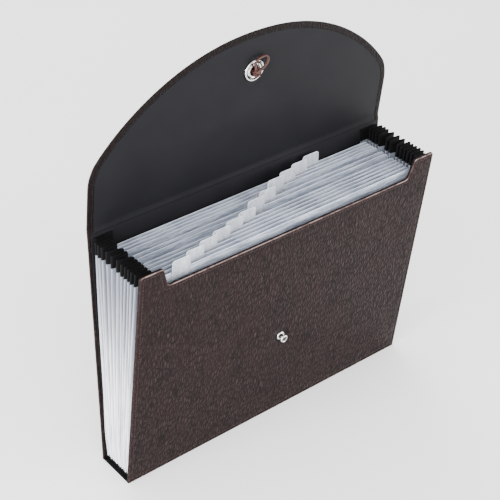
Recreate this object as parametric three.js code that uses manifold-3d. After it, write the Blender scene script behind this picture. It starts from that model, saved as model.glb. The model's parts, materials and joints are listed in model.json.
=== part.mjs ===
// Expanding file folder: leather covers, pleated side gussets, twelve dividers, a folding flap and a cord closure.
// Millimetres, +Z up, front towards -Y, origin at the middle of the bottom face.
import * as THREE from "three";
import { mergeVertices } from "three/addons/utils/BufferGeometryUtils.js";
import Module from "manifold-3d";

const wasm = await Module();
wasm.setup();

// Overall sizes
const WIDTH = 330;
const BOTTOM_DEPTH = 41;
const FRONT_TOP = 238.4; // ear top above the cover's hinge line
const BACK_TOP = 240.85;
const NOTCH_DEPTH = 20;
const EAR_WIDTH = 24;
const EAR_FOOT = 28;
const CORNER_RADIUS = 3;

// Cover layers
const COVER_THICK = 3.2;
const LEATHER_THICK = 1.0;
const BOARD_THICK = 1.05;
const LINING_THICK = 0.65;
const RIM = 2.0;
const GAP = 0.3;
const HINGE_Z = 1.6;
const COVER_FOOT = 1.2; // how far a cover reaches below its hinge line

// Fan of dividers: the share of the opening that each of the thirteen pockets takes, from the back
const POCKET_SHARES = [0.6, 0.6, 0.6, 0.7, 2.6, 1.1, 2.4, 0.7, 0.7, 0.7, 0.75, 0.75, 0.8];
const UPRIGHT_DIVIDER = 6;
const WEDGE_DEG = 8.4;
const DIVIDER_THICK = 0.4;
const DIVIDER_INSET = 16.2; // inside the covers' side edges
const DIVIDER_HALF = WIDTH / 2 - DIVIDER_INSET;
const DIVIDER_TALL = 220.5;
const DIVIDER_FOOT_Z = 4.4;
const DIVIDER_CORNER = 7;

// Index tabs
const TAB_WIDTH = 19;
const TAB_TALL = 20;
const TAB_ABOVE = 11.5;
const TAB_THICK = 0.4;
const TAB_PITCH = 17.5;
const TAB_FIRST_INSET = 47;
const TAB_FIRST_X = TAB_FIRST_INSET - WIDTH / 2;

// Side gussets
const FOLD_IN_INSET = 15.3;
const FOLD_OUT_INSET = 1.6;
const FOLD_IN = WIDTH / 2 - FOLD_IN_INSET;
const FOLD_OUT = WIDTH / 2 - FOLD_OUT_INSET;
const FILM_HALF = 0.18;
const TAPE_HALF = 0.45;
const FILM_FOOT_Z = 5.2;
const TAPE_FOOT_Z = 223.9;
const TAPE_TOP_Z = 236.4;
const FLANGE = 8;

// Base
const BASE_DEPTH = 33.7;
const BASE_STRIP_THICK = 1.2;
const BASE_BOARD_THICK = 1.5;
const POCKET_FLOOR_THICK = 0.5;

// Flap
const FLAP_HINGE_RISE = 1.35; // flap hinge line above the back cover's top
const FLAP_THICK = 2.0;
const FLAP_LEAN_DEG = 4;
const BRIDGE_LENGTH = 82;
const FLAP_LENGTH = 139.4;
const FLAP_SIDE = 52.3;
const ARCH_X_POWER = 2 / 2.12;
const ARCH_S_POWER = 2 / 1.2;
const FLAP_ROUND = 12; // rounding at each side corner of the flap
const FLAP_ROUND_TURN = 0.28;
const BACK_BEVEL_TALL = 2.5;
const BACK_BEVEL_DEEP = 1.4;

// Closure
const EYELET_S = 102;
const EYELET_OUTER = 10.2;
const EYELET_BORE = 4.4;
const EYELET_WALL = 0.7;
const CORD_RADIUS = 1.2;
const LOOP_REACH = 94;
const LOOP_HALF_WIDTH = 7;
const STUD_HEIGHT_UP = 95.4;
const STUD_BASE_RADIUS = 4.3;
const STUD_NECK_RADIUS = 2.1;
const STUD_HEAD_RADIUS = 4.0;
const STUD_NECK_TALL = 4.4;
const STUD_WASHER_RADIUS = 5.0;

const RAD = Math.PI / 180;
const HALF = WIDTH / 2;

const finish = (color, roughness, metalness = 0) =>
  new THREE.MeshStandardMaterial({ color, roughness, metalness });
const LEATHER = finish(0x453839, 0.55);
const BOARD = finish(0x8a7a66, 0.9);
const LINING = finish(0x3c3c40, 0.85);
const BLACK = finish(0x17171a, 0.8);
const FILM = finish(0xd9dde6, 0.35);
const CLEAR = finish(0xe4e8ef, 0.2);
const CHROME = finish(0xd8d8da, 0.12, 1);
const CORD = finish(0x4a3028, 0.7);

const root = new THREE.Group();
root.name = "expanding_file";

// Booleans
function toSolid(geometry) {
  const g = geometry.clone();
  g.deleteAttribute("normal");
  g.deleteAttribute("uv");
  const merged = mergeVertices(g, 1e-4);
  return new wasm.Manifold(
    new wasm.Mesh({
      numProp: 3,
      vertProperties: new Float32Array(merged.attributes.position.array),
      triVerts: new Uint32Array(merged.index.array),
    }),
  );
}

function toGeometry(solid) {
  const m = solid.getMesh();
  const v = new Float32Array(m.numVert * 3);
  for (let i = 0; i < m.numVert; i++) {
    v.set(m.vertProperties.subarray(i * m.numProp, i * m.numProp + 3), i * 3);
  }
  const g = new THREE.BufferGeometry();
  g.setAttribute("position", new THREE.BufferAttribute(v, 3));
  g.setIndex(new THREE.BufferAttribute(new Uint32Array(m.triVerts), 1));
  g.computeVertexNormals();
  return g;
}

const cut = (a, ...tools) =>
  toGeometry(tools.reduce((s, t) => s.subtract(toSolid(t)), toSolid(a)));
const join = (a, ...others) =>
  toGeometry(others.reduce((s, t) => s.add(toSolid(t)), toSolid(a)));

// A panel frame: x along the width, s up the panel, n towards the front
class PanelFrame {
  constructor(y, z, leanDeg) {
    this.lean = leanDeg * RAD;
    this.origin = new THREE.Vector3(0, y, z);
    this.up = new THREE.Vector3(0, -Math.sin(this.lean), Math.cos(this.lean));
    this.front = new THREE.Vector3(0, -Math.cos(this.lean), -Math.sin(this.lean));
    this.matrix = new THREE.Matrix4()
      .makeBasis(new THREE.Vector3(1, 0, 0), this.up, this.front)
      .setPosition(this.origin);
  }
  point(x, s, n) {
    return new THREE.Vector3(x, s, n).applyMatrix4(this.matrix);
  }
  add(name, geometry, material) {
    const g = geometry.clone();
    g.applyMatrix4(this.matrix);
    const mesh = new THREE.Mesh(g, material.clone());
    mesh.name = name;
    root.add(mesh);
    return mesh;
  }
}

// A flat plate: outline points in x and s, between two heights along n
function plate(points, n0, n1) {
  const shape = new THREE.Shape(points.map(([x, s]) => new THREE.Vector2(x, s)));
  const g = new THREE.ExtrudeGeometry(shape, { depth: n1 - n0, bevelEnabled: false });
  g.translate(0, 0, n0);
  return g;
}

// A round of points from one corner to the next, for a corner of a rectangle
function cornerArc(cx, cy, r, from, to, steps = 4) {
  const out = [];
  for (let i = 0; i <= steps; i++) {
    const a = (from + ((to - from) * i) / steps) * RAD;
    out.push([cx + r * Math.cos(a), cy + r * Math.sin(a)]);
  }
  return out;
}

function rectangle(half, s0, s1, topRadius, inset = 0) {
  const h = half - inset;
  const top = s1 - inset;
  const bottom = s0 + inset;
  const r = Math.max(topRadius - inset, 0.4);
  return [
    [-h, bottom],
    [h, bottom],
    ...cornerArc(h - r, top - r, r, 0, 90),
    ...cornerArc(-h + r, top - r, r, 90, 180),
  ];
}

// Front cover outline with an ear at each side of the thumb cut-out
function frontOutline(inset = 0) {
  const h = HALF - inset;
  const top = FRONT_TOP - inset;
  const bottom = -COVER_FOOT + inset;
  const notch = FRONT_TOP - NOTCH_DEPTH - inset;
  const r = Math.max(CORNER_RADIUS - inset * 0.5, 1);
  const earTop = HALF - EAR_WIDTH + inset;
  const earFoot = HALF - EAR_FOOT + inset;
  const right = [
    [h, bottom],
    ...cornerArc(h - r, top - r, r, 0, 90),
    ...cornerArc(earTop + r, top - r, r, 90, 165),
    ...cornerArc(earFoot - 4, notch + 4, 4, -8, -90),
  ];
  const left = right.map(([x, s]) => [-x, s]).reverse();
  return [...right, ...left];
}

// Flap edge at one side: half-width against the distance from the flap's hinge, moved in by inset
function archEdge(s0, s1, inset = 0, steps = 22) {
  const arch = (t) => [
    HALF * Math.max(Math.cos(t), 0) ** ARCH_X_POWER,
    FLAP_SIDE + (FLAP_LENGTH - FLAP_SIDE) * Math.sin(t) ** ARCH_S_POWER,
  ];
  const raw = [];
  const low = [HALF, FLAP_SIDE - FLAP_ROUND];
  const high = arch(FLAP_ROUND_TURN);
  for (let i = 0; i <= 3; i++) raw.push([HALF, -6 + ((low[1] + 6) * i) / 3]);
  for (let i = 1; i <= 6; i++) {
    const t = i / 6;
    const k = [(1 - t) ** 2, 2 * t * (1 - t), t ** 2];
    raw.push([
      k[0] * low[0] + k[1] * HALF + k[2] * high[0],
      k[0] * low[1] + k[1] * FLAP_SIDE + k[2] * high[1],
    ]);
  }
  for (let i = 1; i <= steps; i++) {
    raw.push(arch(FLAP_ROUND_TURN + (i / steps) * (Math.PI / 2 - FLAP_ROUND_TURN)));
  }
  const moved = raw.map(([x, s], i) => {
    const a = raw[Math.max(i - 1, 0)];
    const b = raw[Math.min(i + 1, raw.length - 1)];
    let dx = b[0] - a[0];
    let ds = b[1] - a[1];
    if (i === raw.length - 1) {
      dx = -1;
      ds = 0;
    }
    const len = Math.hypot(dx, ds);
    return [x - (ds / len) * inset, s + (dx / len) * inset];
  });
  const at = (s) => {
    for (let i = 1; i < moved.length; i++) {
      const [xa, sa] = moved[i - 1];
      const [xb, sb] = moved[i];
      if (s >= sa && s <= sb) return [xa + ((xb - xa) * (s - sa)) / Math.max(sb - sa, 1e-9), s];
    }
    return moved[moved.length - 1];
  };
  const inside = moved.filter(([x, s]) => s > s0 + 0.3 && s < s1 - 0.3 && x > 0.5);
  const end = s1 > FLAP_LENGTH ? [] : [at(s1)];
  return [at(s0), ...inside, ...end];
}

function flapOutline(s0, s1, inset = 0) {
  const right = archEdge(s0, s1, inset);
  const left = right.map(([x, s]) => [-x, s]).reverse();
  const tip = s1 > FLAP_LENGTH ? [[0, FLAP_LENGTH - inset]] : [];
  return [...right, ...tip, ...left];
}

// Upright discs and rods along n
function disc(radius, n0, n1, x = 0, s = 0, sides = 28, radius2 = radius) {
  const g = new THREE.CylinderGeometry(radius2, radius, n1 - n0, sides);
  g.rotateX(Math.PI / 2);
  g.translate(x, s, (n0 + n1) / 2);
  return g;
}

// A turned piece about an axis along n: closed profile of radius and n, anticlockwise
function turned(profile, x = 0, s = 0, sides = 32) {
  const g = new THREE.LatheGeometry(
    profile.concat([profile[0]]).map(([r, n]) => new THREE.Vector2(r, n)),
    sides,
  );
  g.rotateX(Math.PI / 2);
  g.translate(x, s, 0);
  return g;
}

// A round cord along a curve
function tube(points, radius, steps, closed = false, sides = 8) {
  const curve = new THREE.CatmullRomCurve3(points, closed, "centripetal");
  const frames = curve.computeFrenetFrames(steps, closed);
  const pos = [];
  const idx = [];
  const rings = closed ? steps : steps + 1;
  for (let i = 0; i < rings; i++) {
    const c = curve.getPointAt(i / steps);
    for (let j = 0; j < sides; j++) {
      const a = (j / sides) * 2 * Math.PI;
      const p = c
        .clone()
        .addScaledVector(frames.normals[i], radius * Math.cos(a))
        .addScaledVector(frames.binormals[i], radius * Math.sin(a));
      pos.push(p.x, p.y, p.z);
    }
  }
  for (let i = 0; i < (closed ? rings : rings - 1); i++) {
    const k = ((i + 1) % rings) * sides;
    for (let j = 0; j < sides; j++) {
      const j2 = (j + 1) % sides;
      idx.push(i * sides + j, i * sides + j2, k + j2);
      idx.push(i * sides + j, k + j2, k + j);
    }
  }
  if (!closed) {
    const last = (rings - 1) * sides;
    for (let j = 1; j < sides - 1; j++) {
      idx.push(0, j + 1, j);
      idx.push(last, last + j, last + j + 1);
    }
  }
  const g = new THREE.BufferGeometry();
  g.setAttribute("position", new THREE.Float32BufferAttribute(pos, 3));
  g.setIndex(idx);
  return facingOut(g);
}

// Turns a closed surface round if its faces point inwards
function facingOut(g) {
  const p = g.attributes.position;
  const index = g.index.array;
  let volume = 0;
  const v = [new THREE.Vector3(), new THREE.Vector3(), new THREE.Vector3()];
  for (let i = 0; i < index.length; i += 3) {
    for (let k = 0; k < 3; k++) v[k].fromBufferAttribute(p, index[i + k]);
    volume += v[0].dot(v[1].clone().cross(v[2]));
  }
  if (volume < 0) {
    for (let i = 0; i < index.length; i += 3) {
      [index[i + 1], index[i + 2]] = [index[i + 2], index[i + 1]];
    }
  }
  return g;
}

// Fan angles and foot lines
const shareTotal = POCKET_SHARES.reduce((a, b) => a + b, 0);
const cumulative = [0];
for (const share of POCKET_SHARES) cumulative.push(cumulative[cumulative.length - 1] + share);
const leanOf = (i) => ((cumulative[i] - cumulative[UPRIGHT_DIVIDER]) / shareTotal) * WEDGE_DEG;
const POCKETS = POCKET_SHARES.length;
const HINGE_Y = BOTTOM_DEPTH / 2 - COVER_THICK / 2;
const INNER_Y = BOTTOM_DEPTH / 2 - COVER_THICK;
const footY = (i) => INNER_Y - (2 * INNER_Y * i) / POCKETS;

// Base
const floorFrame = new PanelFrame(0, 0, 0);
function slab(name, halfX, depth, z0, z1, material) {
  const g = new THREE.BoxGeometry(halfX * 2, z1 - z0, depth);
  g.translate(0, (z0 + z1) / 2, 0);
  floorFrame.add(name, g, material);
}
const boardZ = BASE_STRIP_THICK + GAP;
const floorZ = boardZ + BASE_BOARD_THICK + GAP;
slab("base_strip", HALF - 1, BASE_DEPTH, 0, BASE_STRIP_THICK, BLACK);
slab("base_board", HALF - 4, BASE_DEPTH - 2, boardZ, boardZ + BASE_BOARD_THICK, BOARD);
slab("pocket_floor", DIVIDER_HALF, BASE_DEPTH - 1, floorZ, floorZ + POCKET_FLOOR_THICK, FILM);

// Covers: a leather tray with a turned rim, a board inside it, and a lining over the board
function cover(prefix, frame, outline, outward, holes, bevels = []) {
  const half = COVER_THICK / 2;
  const layer = (a, b) => (outward > 0 ? [a, b] : [-b, -a]);
  const wide = [-half - 1, half + 1];
  const drill = (r) => holes.map(([x, s]) => disc(r, wide[0], wide[1], x, s, 20));
  const body = plate(outline(0), -half, half);
  const [p0, p1] = layer(-half - 1, half - LEATHER_THICK);
  const pocket = plate(outline(RIM), p0, p1);
  const bore = STUD_NECK_RADIUS + GAP;
  frame.add(prefix + "_leather", cut(body, pocket, ...drill(bore), ...bevels), LEATHER);
  const boardTop = half - LEATHER_THICK - GAP;
  const [b0, b1] = layer(boardTop - BOARD_THICK, boardTop);
  const boardSheet = plate(outline(RIM + GAP), b0, b1);
  frame.add(prefix + "_board", holes.length ? cut(boardSheet, ...drill(bore)) : boardSheet, BOARD);
  const [l0, l1] = layer(-half, -half + LINING_THICK - 0.1);
  const liningSheet = plate(outline(RIM + GAP), l0, l1);
  frame.add(prefix + "_lining", holes.length ? cut(liningSheet, ...drill(bore)) : liningSheet, LINING);
}
const frontFrame = new PanelFrame(-HINGE_Y, HINGE_Z, leanOf(POCKETS));
const backFrame = new PanelFrame(HINGE_Y, HINGE_Z, leanOf(0));
cover("front", frontFrame, frontOutline, 1, [[0, STUD_HEIGHT_UP]]);
function topBevel() {
  const face = -COVER_THICK / 2;
  const profile = new THREE.Shape([
    new THREE.Vector2(BACK_TOP - BACK_BEVEL_TALL, face),
    new THREE.Vector2(BACK_TOP - BACK_BEVEL_TALL, face - 2),
    new THREE.Vector2(BACK_TOP + 2, face - 2),
    new THREE.Vector2(BACK_TOP + 2, face + BACK_BEVEL_DEEP * (1 + 2 / BACK_BEVEL_TALL)),
  ]);
  const g = new THREE.ExtrudeGeometry(profile, { depth: WIDTH + 8, bevelEnabled: false });
  g.translate(0, 0, -HALF - 4);
  g.applyMatrix4(
    new THREE.Matrix4().makeBasis(
      new THREE.Vector3(0, 1, 0),
      new THREE.Vector3(0, 0, 1),
      new THREE.Vector3(1, 0, 0),
    ),
  );
  return g;
}
cover(
  "back",
  backFrame,
  (inset) => rectangle(HALF, -COVER_FOOT, BACK_TOP, CORNER_RADIUS, inset),
  -1,
  [],
  [topBevel()],
);

// Dividers with their index tabs
for (let i = 1; i < POCKETS; i++) {
  const frame = new PanelFrame(footY(i), DIVIDER_FOOT_Z, leanOf(i));
  const half = DIVIDER_THICK / 2;
  const id = String(i).padStart(2, "0");
  frame.add(
    "divider_" + id,
    plate(rectangle(DIVIDER_HALF, 0, DIVIDER_TALL, DIVIDER_CORNER), -half, half),
    FILM,
  );
  const x = TAB_FIRST_X + (POCKETS - 1 - i) * TAB_PITCH;
  const outline = rectangle(TAB_WIDTH / 2, 0, TAB_TALL, 2.5).map(([px, ps]) => [
    px + x,
    ps + DIVIDER_TALL + TAB_ABOVE - TAB_TALL,
  ]);
  frame.add("tab_" + id, plate(outline, half + GAP, half + GAP + TAB_THICK), CLEAR);
}

// Gussets: a pleated strip at each side, with folds between the dividers' edges and the outside
function pleatLine(z, side, foldIn, cover) {
  const rise = (z - FILM_FOOT_Z) / (TAPE_TOP_Z - FILM_FOOT_Z);
  const flat = 0.5 + 0.32 * rise;
  const crown = (0.7 + 0.65 * rise) / 2;
  const yAt = (i) => {
    const z0 = i === 0 || i === POCKETS ? HINGE_Z : DIVIDER_FOOT_Z;
    return footY(i) - (z - z0) * Math.tan(leanOf(i) * RAD);
  };
  const back = yAt(0) - cover;
  const front = yAt(POCKETS) + cover;
  const line = [
    [side * (foldIn - FLANGE), back],
    [side * foldIn, back],
  ];
  for (let j = 1; j <= POCKETS; j++) {
    const a = j === 1 ? back : yAt(j - 1) - flat;
    const b = j === POCKETS ? front : yAt(j) + flat;
    const mid = (a + b) / 2;
    line.push([side * FOLD_OUT, mid + crown], [side * FOLD_OUT, mid - crown]);
    line.push([side * foldIn, b]);
    if (j < POCKETS) line.push([side * foldIn, yAt(j) - flat]);
  }
  line.push([side * (foldIn - FLANGE), front]);
  return line;
}

// Points moved sideways by half the film's thickness, square at the ends
function offsetLine(line, half) {
  return line.map(([x, y], i) => {
    const a = line[Math.max(i - 1, 0)];
    const b = line[Math.min(i + 1, line.length - 1)];
    const unit = (p, q) => {
      const d = Math.hypot(q[0] - p[0], q[1] - p[1]);
      return [(q[0] - p[0]) / d, (q[1] - p[1]) / d];
    };
    const u = i === 0 ? unit([x, y], b) : unit(a, [x, y]);
    const v = i === line.length - 1 ? u : unit([x, y], b);
    const bis = [-(u[1] + v[1]), u[0] + v[0]];
    const len = Math.hypot(bis[0], bis[1]);
    const n = [bis[0] / len, bis[1] / len];
    const k = half / Math.max(n[0] * -u[1] + n[1] * u[0], 0.35);
    return [
      [x + n[0] * k, y + n[1] * k],
      [x - n[0] * k, y - n[1] * k],
    ];
  });
}

function pleatedStrip(z0, z1, side, half, foldIn, cover) {
  const low = offsetLine(pleatLine(z0, side, foldIn, cover), half);
  const high = offsetLine(pleatLine(z1, side, foldIn, cover), half);
  const pos = [];
  const count = low.length;
  for (let i = 0; i < count; i++) {
    for (const [pair, z] of [[low[i], z0], [high[i], z1]]) {
      pos.push(pair[0][0], pair[0][1], z, pair[1][0], pair[1][1], z);
    }
  }
  const idx = [];
  const quad = (a, b, c, d) => idx.push(a, b, c, a, c, d);
  for (let i = 0; i < count - 1; i++) {
    const a = i * 4;
    const b = a + 4;
    quad(a, b, b + 2, a + 2);
    quad(a + 1, a + 3, b + 3, b + 1);
    quad(a + 2, b + 2, b + 3, a + 3);
    quad(a, a + 1, b + 1, b);
  }
  const e = (count - 1) * 4;
  quad(0, 2, 3, 1);
  quad(e, e + 1, e + 3, e + 2);
  const g = new THREE.BufferGeometry();
  g.setAttribute("position", new THREE.Float32BufferAttribute(pos, 3));
  g.setIndex(idx);
  return facingOut(g);
}

function addWorld(name, geometry, material) {
  const mesh = new THREE.Mesh(geometry, material.clone());
  mesh.name = name;
  root.add(mesh);
}
for (const [word, side] of [["left", -1], ["right", 1]]) {
  addWorld(
    "gusset_film_" + word,
    pleatedStrip(FILM_FOOT_Z, TAPE_FOOT_Z - GAP, side, FILM_HALF, FOLD_IN, FILM_HALF + GAP),
    FILM,
  );
  addWorld(
    "gusset_tape_" + word,
    pleatedStrip(TAPE_FOOT_Z, TAPE_TOP_Z, side, TAPE_HALF, FOLD_IN, TAPE_HALF + GAP),
    BLACK,
  );
}

// Flap: a bridge over the top and a tongue that comes down the front
const flapHinge = backFrame.point(0, BACK_TOP + FLAP_HINGE_RISE, -(COVER_THICK - FLAP_THICK) / 2);
const flapFrame = new PanelFrame(flapHinge.y, flapHinge.z, FLAP_LEAN_DEG);
const flapHalf = FLAP_THICK / 2;
// One panel of the flap: leather with a rolled end on its hinge line and a turned rim, lined inside
function flapPart(prefix, s0, s1, hole) {
  const open = s1 > FLAP_LENGTH ? s1 : s1 + 1;
  const body = plate(flapOutline(s0, s1), -flapHalf, flapHalf);
  const roll = new THREE.CylinderGeometry(flapHalf, flapHalf, 2 * archEdge(s0, s1)[0][0], 20);
  roll.rotateZ(Math.PI / 2);
  roll.translate(0, s0, 0);
  const liningFoot = s0 + flapHalf + GAP;
  const pocket = plate(flapOutline(liningFoot, open, RIM), -flapHalf + LEATHER_THICK, flapHalf + 1);
  const bore = hole ? [disc(hole, -flapHalf - 2, flapHalf + 2, 0, EYELET_S, 28)] : [];
  flapFrame.add(prefix + "_leather", cut(join(body, roll), pocket, ...bore), LEATHER);
  const sheet = plate(
    flapOutline(liningFoot + GAP, s1, RIM + GAP),
    -flapHalf + LEATHER_THICK + GAP,
    flapHalf,
  );
  flapFrame.add(prefix + "_lining", hole ? cut(sheet, ...bore) : sheet, LINING);
}
flapPart("bridge", 0, BRIDGE_LENGTH - FLAP_HINGE_RISE, 0);
flapPart("tongue", BRIDGE_LENGTH, FLAP_LENGTH + 1, EYELET_BORE + EYELET_WALL + GAP);

// Eyelet: a rolled ring with its barrel through the tongue, and a washer on the outer face
const ringFoot = flapHalf + GAP;
const barrelOut = EYELET_BORE + EYELET_WALL;
const washerFoot = -flapHalf - GAP;
flapFrame.add(
  "eyelet_ring",
  turned(
    [
      [EYELET_BORE, washerFoot - 1.5],
      [barrelOut, washerFoot - 1.5],
      [barrelOut, ringFoot],
      [EYELET_OUTER, ringFoot],
      [EYELET_OUTER - 0.3, ringFoot + 0.7],
      [EYELET_OUTER - 1.6, ringFoot + 1.5],
      [EYELET_BORE + 2.4, ringFoot + 1.6],
      [EYELET_BORE + 0.7, ringFoot + 1.1],
      [EYELET_BORE, ringFoot + 0.2],
    ],
    0,
    EYELET_S,
  ),
  CHROME,
);
flapFrame.add(
  "eyelet_washer",
  turned(
    [
      [barrelOut + GAP, washerFoot - 1.2],
      [EYELET_OUTER - 1.6, washerFoot - 0.9],
      [EYELET_OUTER - 0.4, washerFoot - 0.5],
      [EYELET_OUTER - 0.4, washerFoot],
      [barrelOut + GAP, washerFoot],
    ],
    0,
    EYELET_S,
  ),
  CHROME,
);

// Elastic cord: a long loop behind the tongue, a knot in front of the eyelet, and the short bight beyond the knot
const knotN = ringFoot + 4.4;
const loopPoints = [];
const strand = (sign) => [
  [sign * 1.7, 0, knotN - 2.85],
  [sign * 1.8, 0, -0.6],
  [sign * 2.0, -1.2, -3.8],
  [sign * 2.4, -5.4, -6.2],
  [sign * 3.0, -12, -6.6],
  [sign * 4.2, -26, -4.9],
  [sign * 5.6, -46, -3.5],
  [sign * 6.7, -66, -2.9],
  [sign * LOOP_HALF_WIDTH, -LOOP_REACH + 12, -2.8],
  [sign * 6.1, -LOOP_REACH + 4.6, -2.8],
];
for (const p of strand(-1)) loopPoints.push(p);
loopPoints.push([0, -LOOP_REACH, -2.8]);
for (const p of strand(1).reverse()) loopPoints.push(p);
const cordPoints = (list) => list.map(([x, s, n]) => new THREE.Vector3(x, s + EYELET_S, n));
flapFrame.add("elastic_loop", tube(cordPoints(loopPoints), CORD_RADIUS, 84), CORD);
const knotBall = new THREE.SphereGeometry(1, 14, 10);
knotBall.scale(4.0, 3.4, 2.5);
knotBall.translate(0.4, EYELET_S + 0.4, knotN);
const knotWrap = tube(
  cordPoints([
    [-3.6, -1.6, knotN + 0.6],
    [0.6, -3.2, knotN + 1.2],
    [4.2, 0.2, knotN + 0.8],
    [1.4, 3.0, knotN + 1.4],
    [-3.0, 2.4, knotN + 0.9],
  ]),
  CORD_RADIUS,
  26,
  true,
);
const bight = tube(
  cordPoints([
    [-0.6, 0.8, knotN - 0.4],
    [-1.2, 5.0, knotN + 0.3],
    [-0.4, 10.5, knotN + 0.2],
    [3.0, 15.2, knotN - 0.4],
    [8.2, 16.0, knotN - 0.8],
    [11.2, 12.2, knotN - 0.6],
    [9.8, 7.0, knotN],
    [5.8, 3.0, knotN + 0.4],
    [1.4, 0.4, knotN],
  ]),
  CORD_RADIUS,
  40,
);
flapFrame.add("loop_knot", join(knotBall, knotWrap, bight), CORD);

// Stud on the front cover, with its washer inside
const coverFace = COVER_THICK / 2;
const studFoot = coverFace + GAP;
frontFrame.add(
  "stud_base",
  turned(
    [
      [STUD_NECK_RADIUS + GAP, studFoot],
      [STUD_BASE_RADIUS, studFoot],
      [STUD_BASE_RADIUS, studFoot + 0.6],
      [STUD_BASE_RADIUS - 0.7, studFoot + 1.2],
      [STUD_NECK_RADIUS + GAP, studFoot + 1.3],
    ],
    0,
    STUD_HEIGHT_UP,
    28,
  ),
  CHROME,
);
const shankEnd = -coverFace - GAP - 1.0;
const headFoot = studFoot + STUD_NECK_TALL;
frontFrame.add(
  "stud_neck",
  disc(STUD_NECK_RADIUS, shankEnd, headFoot - GAP, 0, STUD_HEIGHT_UP, 24),
  CHROME,
);
frontFrame.add(
  "stud_cap",
  join(
    disc(STUD_HEAD_RADIUS, headFoot, headFoot + 1.0, 0, STUD_HEIGHT_UP, 28),
    disc(STUD_HEAD_RADIUS, headFoot + 1.0, headFoot + 1.9, 0, STUD_HEIGHT_UP, 28, STUD_HEAD_RADIUS - 1.2),
  ),
  CHROME,
);
frontFrame.add(
  "stud_washer",
  cut(
    disc(STUD_WASHER_RADIUS, -coverFace - GAP - 0.8, -coverFace - GAP, 0, STUD_HEIGHT_UP, 28),
    disc(STUD_NECK_RADIUS + GAP, -coverFace - 4, coverFace, 0, STUD_HEIGHT_UP, 24),
  ),
  CHROME,
);

export default root;
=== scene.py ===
"""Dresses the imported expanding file: leather covers and flap, pleated pockets and a cord closure."""

import json
import logging
import math
from collections.abc import Callable, Sequence
from dataclasses import dataclass
from enum import Enum
from typing import Any, NamedTuple

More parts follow.
